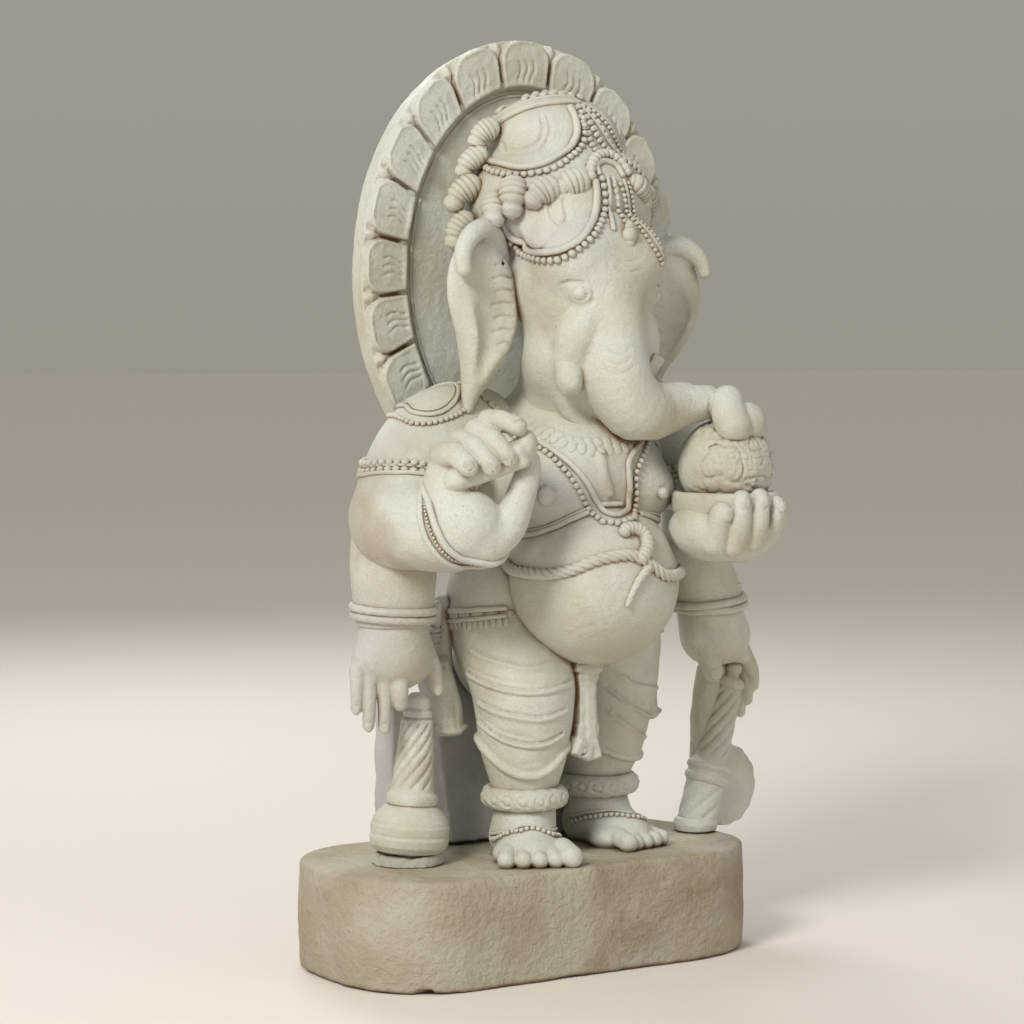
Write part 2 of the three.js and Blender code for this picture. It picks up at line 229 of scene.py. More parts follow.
class Clay:
    """A block of signed distances that shapes are added to and cut from."""

    def __init__(self, low, high, voxel=2.0):
        self.voxel = voxel
        self.low = np.asarray(low, np.float32)
        size = np.ceil((np.asarray(high) - self.low) / voxel).astype(int) + 1
        self.field = np.full(size, FAR, np.float32)
        self.high = self.low + voxel * size

    def window(self, low, high):
        first = np.maximum(np.floor((np.asarray(low) - self.low) / self.voxel).astype(int), 0)
        last = np.minimum(
            np.ceil((np.asarray(high) - self.low) / self.voxel).astype(int) + 1, self.field.shape,
        )
        if (last <= first).any():
            return None, None
        axes = [self.low[k] + self.voxel * np.arange(first[k], last[k], dtype=np.float32) for k in range(3)]
        grid = (axes[0][:, None, None], axes[1][None, :, None], axes[2][None, None, :])
        return tuple(slice(i, j) for i, j in zip(first, last)), grid

    def measure(self, shape, margin):
        low = np.min([p[0] for p in shape], axis=0) - margin
        high = np.max([p[1] for p in shape], axis=0) + margin
        whole, _ = self.window(low, high)
        if whole is None:
            return None, None
        made = np.full(self.field[whole].shape, FAR, np.float32)
        start = np.array([s.start for s in whole])
        for part_low, part_high, distance in shape:
            own, grid = self.window(part_low - margin, part_high + margin)
            if own is None:
                continue
            local = tuple(slice(s.start - o, s.stop - o) for s, o in zip(own, start))
            made[local] = np.minimum(made[local], distance(*grid))
        return whole, made

    def add(self, shape, soft=0.0, sign=1):
        where, d = self.measure(shape, soft + 3 * self.voxel)
        if where is not None:
            self.field[where] = sign * softest(sign * self.field[where], d, soft)

    def cut(self, shape, soft=0.0):
        self.add(shape, soft, -1)

    def keep(self, distance):
        """Cuts away what lies outside a distance given over the whole block."""
        self.field = np.maximum(self.field, distance(*self.window(self.low, self.high)[1]))

    def above(self, height):
        self.keep(lambda x, y, z: height - z)

    def shift(self, amount):
        """Adds amount(x, y, z) to the distances, so that the surface moves inwards by it."""
        self.field += amount(*self.window(self.low, self.high)[1])

    def weather(self, *waves, inset=0.0):
        """Moves the surface in and out by noise of each (amount, size), then inwards by inset."""
        self.shift(lambda x, y, z: sum(amount * noise(x, y, z, size) for amount, size in waves) + inset)

    def at(self, points):
        free = (np.asarray(points, float)[:, :3] - self.low) / self.voxel
        s = np.clip(free, 0, np.array(self.field.shape) - 1.001)
        outside = np.linalg.norm(free - s, axis=1) * self.voxel
        i = s.astype(int)
        f = s - i
        total = 0
        for corner in range(8):
            o = np.array([(corner >> k) & 1 for k in range(3)])
            j = i + o
            total = total + np.prod(np.where(o, f, 1 - f), axis=1) * self.field[j[:, 0], j[:, 1], j[:, 2]]
        return np.where(outside > 0.1, np.maximum(total, outside), total)

    def land(self, points, direction=(0, 1, 0), back=60.0, lift=0.0):
        """Moves points along direction, from back before them, until they meet the surface."""
        p = np.array(points, float)
        d = unit(direction)
        p[:, :3] -= d * back
        gone = np.zeros(len(p))
        for _ in range(90):
            ahead = np.clip(self.at(p) * 0.8, -2, 6)
            ahead = np.where(gone > 2.2 * back, 0, ahead)
            p[:, :3] += d * ahead[:, None]
            gone += ahead
        p[:, :3] -= d * lift
        return p

    def mesh(self):
        limit = THIN * self.voxel
        grid = openvdb.FloatGrid(limit)
        grid.copyFromArray(np.clip(self.field, -limit, limit), tolerance=1e-4)
        points, quads = grid.convertToQuads(0.0)
        return points * self.voxel + self.low, [quads.astype(np.int64)]


def softest(a, b, soft):
    low = np.minimum(a, b)
    if soft <= 0:
        return low
    h = np.maximum(soft - np.abs(a - b), 0) / soft
    return low - h * h * soft * 0.25


# ---------------------------------------------------------------- swept and turned meshes


def frames(p):
    """Tangents and two steady normals along a curve."""
    tangent = np.gradient(p, axis=0)
    tangent /= np.maximum(np.linalg.norm(tangent, axis=1, keepdims=True), 1e-9)
    normal = [unit(np.cross(tangent[0], (0, 0, 1) if abs(tangent[0][2]) < 0.9 else (1, 0, 0)))]
    for t in tangent[1:]:
        normal.append(unit(normal[-1] - t * (normal[-1] @ t)))
    normal = np.array(normal)
    return tangent, normal, np.cross(tangent, normal)


def skin(rings, around):
    """Faces for rings of vertices followed by two tips: quads between rings and a fan at each end."""
    k = np.arange(around)
    nxt = (k + 1) % around
    low = around * np.arange(rings - 1)[:, None]
    quads = np.stack([low + k, low + nxt, low + around + nxt, low + around + k], -1).reshape(-1, 4)
    last, tip = around * (rings - 1), np.full(around, around * rings)
    return [quads, np.vstack([np.stack([nxt, k, tip], 1), np.stack([last + k, last + nxt, tip + 1], 1)])]


def tube(points, radius, around=10, twist=None):
    """A round-ended tube, with one radius or one for each point; twist=(strands, pitch, depth) makes a rope."""
    p = np.asarray(points, float)[:, :3]
    r = np.broadcast_to(np.asarray(radius, float), len(p)).copy()
    run = np.concatenate([[0], np.cumsum(np.linalg.norm(np.diff(p, axis=0), axis=1))])
    t, n, b = frames(p)
    a = np.linspace(0, 2 * math.pi, around, endpoint=False)
    if twist:
        strands, pitch, depth = twist
        phase = strands * (a[None] - 2 * math.pi * run[:, None] / pitch)
        swell = 1 + depth * (np.abs(np.cos(0.5 * phase)) - 0.6)
    else:
        swell = np.ones((len(p), around))
    section = np.cos(a)[None, :, None] * n[:, None] + np.sin(a)[None, :, None] * b[:, None]
    off = section * (r[:, None] * swell)[..., None]
    caps = [p[0] - t[0] * r[0] * 0.6, p[-1] + t[-1] * r[-1] * 0.6]
    return np.vstack([(p[:, None] + off).reshape(-1, 3), caps]), skin(len(p), around)


def globe(centre, radii, around=10, rows=6, axes=np.eye(3)):
    """A sphere mesh, stretched along axes."""
    lat = np.linspace(0, math.pi, rows + 1)[1:-1]
    lon = np.linspace(0, 2 * math.pi, around, endpoint=False)
    la, lo = np.meshgrid(lat, lon, indexing="ij")
    p = np.stack([np.sin(la) * np.cos(lo), np.sin(la) * np.sin(lo), np.cos(la)], -1).reshape(-1, 3)
    p = np.vstack([p, [0, 0, 1], [0, 0, -1]]) * np.broadcast_to(radii, 3)
    p = p @ np.asarray(axes) + np.asarray(centre)
    quads, tris = skin(rows - 1, around)
    return p, [np.roll(quads[:, ::-1], 1, axis=1), tris[:, ::-1]]


CHANCE = np.random.default_rng(11)


def beads(points, radius, gap=0.0, squash=0.9):
    """A string of carved beads along a curve."""
    p = resample(np.asarray(points, float)[:, :3], 2 * radius + gap)
    out = []
    for q in p:
        r = radius * CHANCE.uniform(0.93, 1.06)
        out.append(globe(q + CHANCE.normal(0, 0.04 * radius, 3), (r, r, r * squash), 9, 6))
    return merge(*out)


def turned(profile, foot, direction, around=48, flutes=None):
    """A profile of (radius, height) turned about a line.

    flutes=(count, turns per mm, depth, low, high) carves a spiral.
    """
    h = np.array([q[1] for q in profile], float)
    r = np.array([q[0] for q in profile], float)
    fine = np.unique(np.concatenate([h, np.arange(h.min(), h.max(), 2.0)])) if (np.diff(h) > 0).all() else h
    radius = np.interp(fine, h, r) if len(fine) > len(h) else r
    a = np.linspace(0, 2 * math.pi, around, endpoint=False)
    rr = np.repeat(radius[:, None], around, 1)
    if flutes:
        count, pitch, depth, low, high = flutes
        phase = count * (a[None] - 2 * math.pi * fine[:, None] * pitch)
        inside = np.clip(np.minimum(fine - low, high - fine) / 2.0, 0, 1)[:, None]
        rr = rr - depth * inside * (1 - np.abs(np.sin(0.5 * phase))) ** 1.5
    axis = unit(direction)
    u = unit(np.cross(axis, (0, 1, 0)))
    v = np.cross(axis, u)
    ring = rr[..., None] * (np.cos(a)[None, :, None] * u + np.sin(a)[None, :, None] * v)
    p = (np.asarray(foot, float) + fine[:, None, None] * axis + ring).reshape(-1, 3)
    p = np.vstack([p, np.asarray(foot) + fine[0] * axis, np.asarray(foot) + fine[-1] * axis])
    return p, skin(len(fine), around)


def merge(*meshes):
    verts, faces, base = [], [], 0
    for v, groups in meshes:
        verts.append(v)
        faces += [g + base for g in groups]
        base += len(v)
    return np.vstack(verts), faces


def curl(points, radii, ribs=6, depth=0.2):
    """A ribbed lock of hair, pinched in before a plain ball at its end."""
    p = spline(np.hstack([np.asarray(points, float), np.asarray(radii, float)[:, None]]), 0.7)
    s = np.linspace(0, 1, len(p))
    ribbed = np.clip((0.74 - s) / 0.06, 0, 1)
    groove = (1 - np.abs(np.sin(math.pi * ribs * s / 0.74))) ** 2.5
    pinch = 0.2 * np.exp(-(((s - 0.76) / 0.05) ** 2))
    r = p[:, 3] * (1 - depth * ribbed * groove - pinch)
    return tube(p, r, 20)


def lay(points, clays, lift=0.0):
    """Moves points to the clays' nearest surface, or lift above it, and gives its outward direction."""
    p = np.array(points, float)
    at = p[:, :3]

    def field(q):
        return np.min([c.at(q) for c in clays], axis=0)

    for _ in range(12):
        out = np.stack([field(at + e) - field(at - e) for e in 2 * np.eye(3)], 1)
        out /= np.maximum(np.linalg.norm(out, axis=1, keepdims=True), 1e-6)
        at -= 0.8 * np.clip(field(at) - lift, -4, 4)[:, None] * out
    return p, out


def trace(points, clays, lift=0.0, closed=False, step=2.0):
    """A smooth curve through points set out from the mid-plane, laid on the clays."""
    p = np.array(points, float)
    p[:, 0] += MID
    return lay(spline(p, step, closed), clays, lift)[0]


def cord(points, clays, radius, closed=False):
    return tube(trace(points, clays, 0.3 * radius, closed), radius, 12)


def string(points, clays, radius, closed=False):
    return beads(trace(points, clays, 0.35 * radius, closed), radius)


def studs(points, clays, size, gap=0.0, lift=0.0, closed=False):
    """Rounded studs in a row on the clays; size is (along the row, out of the surface, across the row)."""
    p = resample(trace(points, clays, 0.0, closed), 2 * size[0] + gap)
    p, out = lay(p, clays, lift)
    along = frames(p)[0]
    made = []
    for q, n, t in zip(p, out, along):
        t = unit(t - n * (t @ n))
        scale = CHANCE.uniform(0.94, 1.05)
        made.append(globe(q, np.array(size) * scale, 12, 8, np.array([t, n, np.cross(t, n)])))
    return merge(*made)


def mirrored(points):
    return [(-q[0], *q[1:]) for q in points]


def moved(points, up, deep=0):
    return [(x, y + deep, z + up) for x, y, z in points]


def groove(clay, points, radius, soft, lift=0.0):
    clay.cut(line(trace(points, [clay], lift), radius), soft)


# ---------------------------------------------------------------- materials


# stain is the colour of real soiling and also of the painted shade in creases.
def make_material(name, pale, warm, stain_and_crease_shade, rough, grain, speckle=0.0, tooled=False):
    mat = bpy.data.materials.new(name)
    mat.use_nodes = True
    nodes, links = mat.node_tree.nodes, mat.node_tree.links
    nodes.clear()
    out = nodes.new("ShaderNodeOutputMaterial")
    shader = nodes.new("ShaderNodeBsdfPrincipled")
    links.new(shader.outputs[0], out.inputs[0])
    coord = nodes.new("ShaderNodeTexCoord").outputs["Object"]

    def cloud(scale, detail=3.0, distortion=0.0, roughness=0.55):
        n = nodes.new("ShaderNodeTexNoise")
        n.inputs["Scale"].default_value = scale
        n.inputs["Detail"].default_value = detail
        n.inputs["Roughness"].default_value = roughness
        n.inputs["Distortion"].default_value = distortion
        links.new(coord, n.inputs["Vector"])
        return n.outputs["Fac"]

    def span(value, low, high, to_low=0.0, to_high=1.0):
        m = nodes.new("ShaderNodeMapRange")
        m.interpolation_type = "SMOOTHSTEP"
        for key, v in zip(("From Min", "From Max", "To Min", "To Max"), (low, high, to_low, to_high)):
            m.inputs[key].default_value = v
        links.new(value, m.inputs["Value"])
        return m.outputs[0]

    def times(a, b):
        m = nodes.new("ShaderNodeMath")
        m.operation = "MULTIPLY"
        links.new(a, m.inputs[0])
        if isinstance(b, float):
            m.inputs[1].default_value = b
        else:
            links.new(b, m.inputs[1])
        return m.outputs[0]

    def mix(factor, a, b):
        m = nodes.new("ShaderNodeMix")
        m.data_type = "RGBA"
        links.new(factor, m.inputs["Factor"])
        for key, v in (("A", a), ("B", b)):
            socket = [s for s in m.inputs if s.name == key and s.type == "RGBA"][0]
            if isinstance(v, tuple):
                socket.default_value = (*v, 1)
            else:
                links.new(v, socket)
        return [s for s in m.outputs if s.type == "RGBA"][0]

    colour = mix(span(cloud(9, 4), 0.38, 0.66), pale, warm)
    colour = mix(times(span(cloud(4.2, 3, 0.6), 0.52, 0.7), 0.45), colour, (0.47, 0.45, 0.48))
    colour = mix(span(cloud(650, 3), 0.4, 0.7, 0.0, 0.42), colour, (0.42, 0.39, 0.31))
    # Painted shade: the ambient-occlusion node darkens creases, hollows and gaps between parts towards the
    # stain colour, in noisy patches.
    hollow = nodes.new("ShaderNodeAmbientOcclusion")
    hollow.samples = 6
    hollow.inputs["Distance"].default_value = 0.009
    painted_crease_shade = span(hollow.outputs["AO"], 0.3, 0.9, 1.0, 0.0)
    patchy = span(cloud(22, 4), 0.3, 0.62, 0.35, 1.0)
    colour = mix(times(times(painted_crease_shade, patchy), 0.95), colour, stain_and_crease_shade)
    soiled = times(span(cloud(6.5, 5, 0.4), 0.5 if tooled else 0.56, 0.72), 0.6 if tooled else 0.4)
    colour = mix(soiled, colour, stain_and_crease_shade)
    if speckle:
        dots = times(span(cloud(260, 3, 0.0, 0.7), 0.6, 0.68), span(cloud(14, 3), 0.6, 0.7))
        colour = mix(times(dots, speckle), colour, (0.09, 0.085, 0.075))
    links.new(colour, shader.inputs["Base Color"])
    links.new(span(cloud(60, 3), 0.3, 0.7, rough - 0.07, rough + 0.1), shader.inputs["Roughness"])
    shader.inputs["Specular IOR Level"].default_value = 0.35
    bump = nodes.new("ShaderNodeBump")
    bump.inputs["Strength"].default_value = 0.5
    bump.inputs["Distance"].default_value = grain
    links.new(cloud(260 if tooled else 520, 4, 0.0, 0.7), bump.inputs["Height"])
    wide = nodes.new("ShaderNodeBump")
    wide.inputs["Strength"].default_value = 0.5
    wide.inputs["Distance"].default_value = grain * 2.2
    links.new(cloud(120, 3), wide.inputs["Height"])
    links.new(wide.outputs[0], bump.inputs["Normal"])
    links.new(bump.outputs[0], shader.inputs["Normal"])
    return mat


MARBLE = make_material(
    "marble", (0.65, 0.65, 0.585), (0.54, 0.52, 0.43), (0.24, 0.155, 0.07), 0.55, 0.0013, 0.7,
)
GREY = make_material("grey_marble", (0.5, 0.48, 0.49), (0.4, 0.38, 0.4), (0.2, 0.16, 0.12), 0.6, 0.0008)
CEMENT = make_material("cement", (0.5, 0.49, 0.42), (0.4, 0.39, 0.32), (0.2, 0.17, 0.12), 0.9, 0.0016)
TOOLED = make_material(
    "tooled_marble", (0.5, 0.47, 0.37), (0.39, 0.34, 0.245), (0.21, 0.13, 0.06), 0.75, 0.0036, 0.9, True,
)
SLOTS = {"white_marble": MARBLE, "grey_marble": GREY, "bedding_cement": CEMENT}


def piece(name, made, replaced=(), slot="white_marble", finish=None):
    """One Blender object from millimetre vertices and groups of faces."""
    verts, groups = made
    mesh = bpy.data.meshes.new(name)
    total = [g.shape[1] for g in groups for _ in range(len(g))]
    flat = np.concatenate([g.ravel() for g in groups])
    mesh.vertices.add(len(verts))
    mesh.vertices.foreach_set("co", (np.asarray(verts, np.float32) * MM).ravel())
    mesh.loops.add(len(flat))
    mesh.loops.foreach_set("vertex_index", flat.astype(np.int32))
    mesh.polygons.add(len(total))
    starts = np.concatenate([[0], np.cumsum(total)[:-1]])
    mesh.polygons.foreach_set("loop_start", starts.astype(np.int32))
    mesh.update(calc_edges=True)
    mesh.validate()
    mesh.shade_smooth()
    mesh.materials.append(finish or SLOTS[slot])
    made = bpy.data.objects.new(name, mesh)
    bpy.context.scene.collection.objects.link(made)
    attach(made, "root")
    if replaced:
        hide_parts(*replaced)
    return made


# ---------------------------------------------------------------- plinth and supports


def build_plinth():
    low, high = node_box("plinth")
    corner = 110.0
    clay = Clay(low - 8, high + 8, 2.6)
    half = (high - low) / 2
    mid = (high + low) / 2

    def body(x, y, z):
        qx, qy = np.abs(x - mid[0]) - half[0], np.abs(y - mid[1]) - half[1]
        bulge = 2.5 * ((z - mid[2]) / half[2]) ** 2
        return rounded(rounded(qx, qy, corner) + bulge, np.abs(z - mid[2]) - half[2], 5.0)

    clay.add([(low, high, body)])

    def worn(x, y, z):
        below_edge = np.clip((GROUND - 4 - z) / 6, 0, 1)
        return 1.1 * noise(x, y, z, 34) + 0.6 * noise(x, y, z, 9) * below_edge + 0.8

    clay.shift(worn)
    chips = CHANCE.uniform(-math.pi, math.pi, 26)
    for a in chips:
        x = np.clip(300 * math.cos(a), -half[0] + 30, half[0] - 30)
        y = math.copysign(half[1], math.sin(a))
        if abs(x) > half[0] - corner:
            y *= 0.86
        clay.cut(ball((x, y, CHANCE.uniform(-3, 2)), CHANCE.uniform(4, 9, 3) * (1.6, 1, 1)), 2)
    clay.keep(lambda x, y, z: np.maximum(0.4 - z, z - GROUND))
    piece("plinth_block", clay.mesh(), ["plinth"], finish=TOOLED)


def build_back_supports():
    low, high = node_box("back_support")
    clay = Clay(low - 6, high + 6, 2.6)
    mid, half = (low + high) / 2, (high - low) / 2

    def wedge(x, y, z):
        left = low[0] + 26 - 26 * (z - low[2]) / (high[2] - low[2])
        ends = np.maximum(left - x, x - high[0])
        return np.maximum(ends, np.maximum(np.abs(y - mid[1]) - half[1], np.abs(z - mid[2]) - half[2]))

    clay.add([(low, high, wedge)])
    clay.weather((1.3, 30), (0.7, 8), inset=1.2)
    piece("back_wedge", clay.mesh(), ["back_support"], "grey_marble")
    low, high = node_box("back_strut_right")
    clay = Clay(low - 6, high + 6, 2.0)
    clay.add(block((low + high) / 2, high - low - 1.5, soft=4))
    clay.weather((1.2, 26), (0.5, 7), inset=0.6)
    crack = [(low[0] - 4, low[1] - 2, 206), (low[0] + 10, low[1] - 2, 212), (high[0] + 4, low[1] - 2, 203)]
    clay.cut(line(crack, 1.6), 1)
    piece("back_strut", clay.mesh(), ["back_strut_right"], "grey_marble")


# ---------------------------------------------------------------- halo

HALO_R = (211.0, 268.0)  # to the petal tips
HALO_FRONT = float(node_box("halo_petals")[0][1])
HALO_BACK = float(node_box("halo_slab")[1][1])
HALO_FOOT = float(node_box("halo_slab")[0][2])
PETAL_PITCH = 66.0


def halo_polar(x, z, a, b):
    """Distance outside an oval, and the angle round it."""
    dx, dz = x - MID, z - HALO_Z
    k = np.sqrt((dx / a) ** 2 + (dz / b) ** 2)
    steep = np.sqrt((dx / a**2) ** 2 + (dz / b**2) ** 2)
    return k * (k - 1) / np.maximum(steep, 1e-6), np.arctan2(dx / a, dz / b)


def build_halo():
    a, b = HALO_R
    recess = HALO_FRONT + 12

    def slab(x, y, z):
        off, _ = halo_polar(x, z, a - 4, b - 4)
        return rounded(off, np.abs(y - (recess + HALO_BACK) / 2) - (HALO_BACK - recess) / 2, 7.0)

    low = np.array([MID - a - 6, HALO_FRONT - 8, HALO_FOOT])
    high = np.array([MID + a + 6, HALO_BACK + 6, HALO_Z + b + 6])
    clay = Clay(low, high, 2.6)
    clay.add([(low, high, slab)])
    clay.weather((0.8, 40), (0.35, 9), inset=0.4)
    clay.above(HALO_FOOT + 2)
    piece("halo_disc", clay.mesh(), ["halo_slab"])

    table = np.linspace(-math.pi, math.pi, 721)
    xs, zs = (a - 26) * np.sin(table), (b - 26) * np.cos(table)
    arc = np.concatenate([[0], np.cumsum(np.hypot(np.diff(xs), np.diff(zs)))])
    pitch = PETAL_PITCH
    centre = arc[360]
    petal_low = np.array([MID - a - 4, HALO_FRONT - 6, HALO_FOOT + 6])
    petal_high = np.array([MID + a + 4, recess + 7, HALO_Z + b + 4])
    clay = Clay(petal_low, petal_high, 1.7)

    def petals(x, y, z):
        off, angle = halo_polar(x, z, a, b)
        along = (np.interp(angle, table, arc) - centre).astype(np.float32)
        t = (along + 0.5 * pitch) % pitch - 0.5 * pitch
        q = -off
        half = 0.5 * pitch - 0.5
        round_end = 26.0
        dome = half * (1 - np.clip((round_end - q) / round_end, 0, 1) ** 2.3) ** (1 / 2.3)
        edge = np.where(q < round_end, dome, half - 0.03 * (q - round_end))
        side = edge - np.abs(t)
        inner = 55.0 - q
        inside = np.minimum(np.minimum(side, inner * 0.7 + 1), q * 1.4)
        rise = 10.5 * np.clip(inside / 2.6, 0, 1) ** 0.6
        rise += 1.3 * np.exp(-(((inside - 4.2) / 2.2) ** 2)) - 0.0016 * t * t
        wave = 2.6 * np.sin((q - 24) / 5.0)
        for shift in (-9.5, 0.0, 9.5):
            groove = np.exp(-(((t - shift * (1 - 0.006 * (q - 24)) - wave) / 1.25) ** 2))
            rise -= 2.3 * groove * np.clip((q - 21) / 4, 0, 1) * np.clip((50 - q) / 4, 0, 1)
        u = (along % pitch) - 0.5 * pitch
        bud = np.minimum(8.5 - np.abs(u) - 0.55 * np.abs(q - 9), np.minimum(q + 1.5, 22 - q))
        bud_rise = 7.5 * np.clip(bud / 6, 0, 1) ** 0.7
        face = recess - np.maximum(np.maximum(rise, bud_rise), -4)
        return np.maximum(np.maximum(face - y, y - recess - 5), off)

    clay.add([(petal_low, petal_high, petals)])
    clay.weather((0.5, 14), (0.25, 5), inset=0.2)
    clay.keep(lambda x, y, z: np.maximum(HALO_FOOT + 9 - z, -halo_polar(x, z, a, b)[0] - 57))
    piece("halo_petal_ring", clay.mesh(), ["halo_petals"])

    parts = []
    for inset, r, push in ((50, 7.5, 1.5), (63, 2.4, 1.0)):
        ring = oval((MID, recess + push, HALO_Z), (a - inset, b - inset), (1, 0, 0), (0, 0, 1), -46, 226, 4)
        ring = ring[ring[:, 2] > HALO_FOOT + 10]
        parts.append(tube(ring, r, 14 if r > 4 else 8))
    piece("halo_roll", merge(*parts), ["halo_moulding"])


# ---------------------------------------------------------------- torso, belly and hips


def build_torso():
    clay = Clay((MID - 190, -200, 322), (MID + 190, 92, 700), 2.2)
    clay.add(ball((MID, -2, 520), (128, 66, 128)))
    clay.add(ball((MID, -50, 545), (106, 82, 84)), 30)
    clay.add(ball((MID, -84, 432), (96, 95, 94)), 14)
    for side in (-1, 1):
        clay.add(ball((across(side, 112), -4, 585), (62, 48, 48)), 26)
        clay.add(ball((across(side, 60), -92, 532), (40, 32, 28)), 22)
    clay.add(limb((MID, -28, 600, 62), (MID, -46, 668, 60)), 20)
    clay.add(ball((MID, 20, 470), (110, 56, 120)), 20)
    for offset, size in ((-85, 11), (64, 7.5)):
        spot = lay([(MID + offset, -120, 530)], [clay])[0][0]
        ring = lay(oval(spot, (size, size), (1, 0, 0), (0, 0, 1), 0, 360, 2.5), [clay])[0]
        clay.add(ball(spot - (0.6, 0.6, 0), (size, 6, size)), 1.0)
        clay.cut(line(ring, 1.5), 1)
        clay.add(ball(spot - (0, 3, 0), 0.42 * size), 1)
    clay.add(line(trace([(-18, -124, 574), (-16, -130, 550), (-9, -130, 532)], [clay], -3.6), 7.4), 0.8)
    clay.weather(*BODY_WAVES)
    piece("torso_and_belly", clay.mesh(), ["torso", "belly"])
    return clay


def build_hips():
    clay = Clay((MID - 150, -90, 240), (MID + 150, 96, 470), 2.4)
    clay.add(ball((MID, 6, 392), (132, 66, 62)))
    clay.add(ball((MID, 30, 345), (112, 46, 78)), 20)
    clay.weather((0.5, 26))
    piece("hip_cloth", clay.mesh(), ["hips"])
    return clay


# ---------------------------------------------------------------- legs and feet


# For each leg: (points, whether the crease is double), then the rolled hem round the ankle.
LEG_FOLDS = {
    -1: (
        (
            (
                [(-125, -27, 359), (-119, -49, 352), (-105, -73, 346), (-87, -87, 342), (-58, -90, 347)],
                False,
            ),
            (
                [
                    (-124, -17, 331), (-121, -49, 323), (-111, -71, 318), (-90, -90, 315), (-64, -97, 317),
                    (-32, -87, 322),
                ],
                True,
            ),
            (
                [
                    (-123, -36, 300), (-113, -67, 292), (-99, -83, 288), (-77, -94, 285), (-59, -96, 288),
                    (-41, -92, 292),
                ],
                False,
            ),
            (
                [
                    (-117, -30, 278), (-115, -54, 268), (-106, -70, 260), (-87, -86, 255), (-66, -92, 257),
                    (-45, -90, 265),
                ],
                True,
            ),
        ),
        [
            (-114, -20, 252),
            (-112, -42, 241),
            (-105, -61, 227),
            (-90, -76, 218),
            (-71, -84, 218),
            (-53, -86, 228),
            (-37, -83, 243),
            (-20, -50, 256),
            (-30, -2, 258),
            (-63, 18, 258),
            (-100, 5, 256),
        ],
    ),
    1: (
        (
            ([(49, -56, 328), (74, -57, 312), (105, -46, 305), (120, -20, 303)], False),
            ([(41, -49, 309), (69, -54, 289), (93, -48, 276), (112, -25, 270)], True),
            ([(47, -48, 281), (71, -50, 263), (94, -43, 250), (108, -20, 246)], False),
        ),
        [
            (26, -24, 242), (44, -38, 233), (66, -42, 224), (89, -36, 220), (108, -12, 224), (106, 22, 232),
            (66, 50, 240), (26, 28, 242),
        ],
    ),
}


def build_leg(side):
    ankle = ANKLE[side]
    x, y = ankle[0], ankle[1]
    knee = x if side < 0 else x + 6
    clay = Clay((x - 84, y - 84, 170), (x + (84 if side < 0 else 106), y + 84, 452), 2.0)
    clay.add(
        bend(
            (x, y, 176, 36),
            (x, y, 206, 38),
            (knee, y, 250, 50),
            (knee, y * 0.9, 320, 60),
            (across(side, 62), 0, 380, 66),
            (across(side, 62), 4, 410, 66),
        )
    )
    if side > 0:
        clay.add(bend((knee + 16, y + 4, 360, 57), (knee + 14, y + 2, 310, 55), (knee + 4, y, 250, 46)), 10)
        clay.add(
            bend((knee + 58, y + 14, 380, 28), (knee + 60, y + 14, 340, 27), (knee + 50, y + 12, 284, 24)),
            8,
        )
    folds, hem = LEG_FOLDS[side]
    for points, double in folds:
        fold = trace(points, [clay])
        clay.add(line(fold - (0, 0, 3.5), 2.4 if side < 0 else 1.2), 5)
        clay.cut(line(fold, 1.5), 1.6)
        if double:
            clay.cut(line(lay(fold - (0, 0, 8), [clay])[0], 1.5), 1.4)
            clay.cut(line(lay(fold[: len(fold) * 2 // 3] + (0, 0, 7), [clay])[0], 1.3), 1.4)
    clay.add(line(trace(hem, [clay], 1.0, True), 4.4), 2)
    clay.weather(*BODY_WAVES)
    clay.above(180)
    piece(SIDE_NAME[side] + "_leg", clay.mesh(), ["leg_" + SIDE_NAME[side]])
    return clay


def build_foot(side):
    ankle = ANKLE[side]
    x, y = ankle[0], ankle[1]
    clay = Clay((x - 86, y - 112, GROUND - 4), (x + 84, y + 54, 206), 1.6)
    degrees, gap, big_toe, toe, first = (-20, 18.0, 12.5, 10, 4) if side < 0 else (12, 15.0, 10.8, 9.2, 0)
    heading = math.radians(degrees)
    forward = np.array((math.sin(heading), -math.cos(heading), 0))
    sideways = np.array((math.cos(heading), math.sin(heading), 0))

    def spot(ahead, right, z, *radius):
        return (*(np.array((x, y, z)) + ahead * forward + right * sideways), *radius)

    clay.add(ball((x, y + 12, GROUND + 20), (34, 34, 30)))
    clay.add(limb((x, y, GROUND + 30, 33), (x, y, 200, 36)), 12)
    instep = (spot(4, 0, GROUND + 34, 30), spot(34, 0, GROUND + 22, 24), spot(56, 0, GROUND + 12, 18))
    clay.add(bend(*instep), 14)
    clay.add(ball(spot(40, 0, GROUND + 10), (44, 34, 19), (0, 0, degrees)), 14)
    for k in range(5):
        spread = (k - 2) * gap
        big = k == first
        r = big_toe if big else toe
        ahead = 78 + (5 if big else 0) - 0.0035 * spread * spread
        tip = spot(ahead, spread, GROUND + r - 2)
        clay.add(limb(spot(56, 0.85 * spread, GROUND + r + 3, r), (*tip, r)), 1.5)
        toenail = spot(ahead + 3, spread, GROUND + 1.5 * r - 2)
        clay.add(ball(toenail, (r * 0.55, r * 0.62, r * 0.42), (30, 0, degrees)), 1.0)
    clay.weather((0.3, 18))
    clay.above(GROUND - 1.5)
    piece(SIDE_NAME[side] + "_foot", clay.mesh(), ["foot_" + SIDE_NAME[side]])
    return clay


# ---------------------------------------------------------------- arms

REAR_OUT = 214  # how far the rear arms hang from the mid-plane


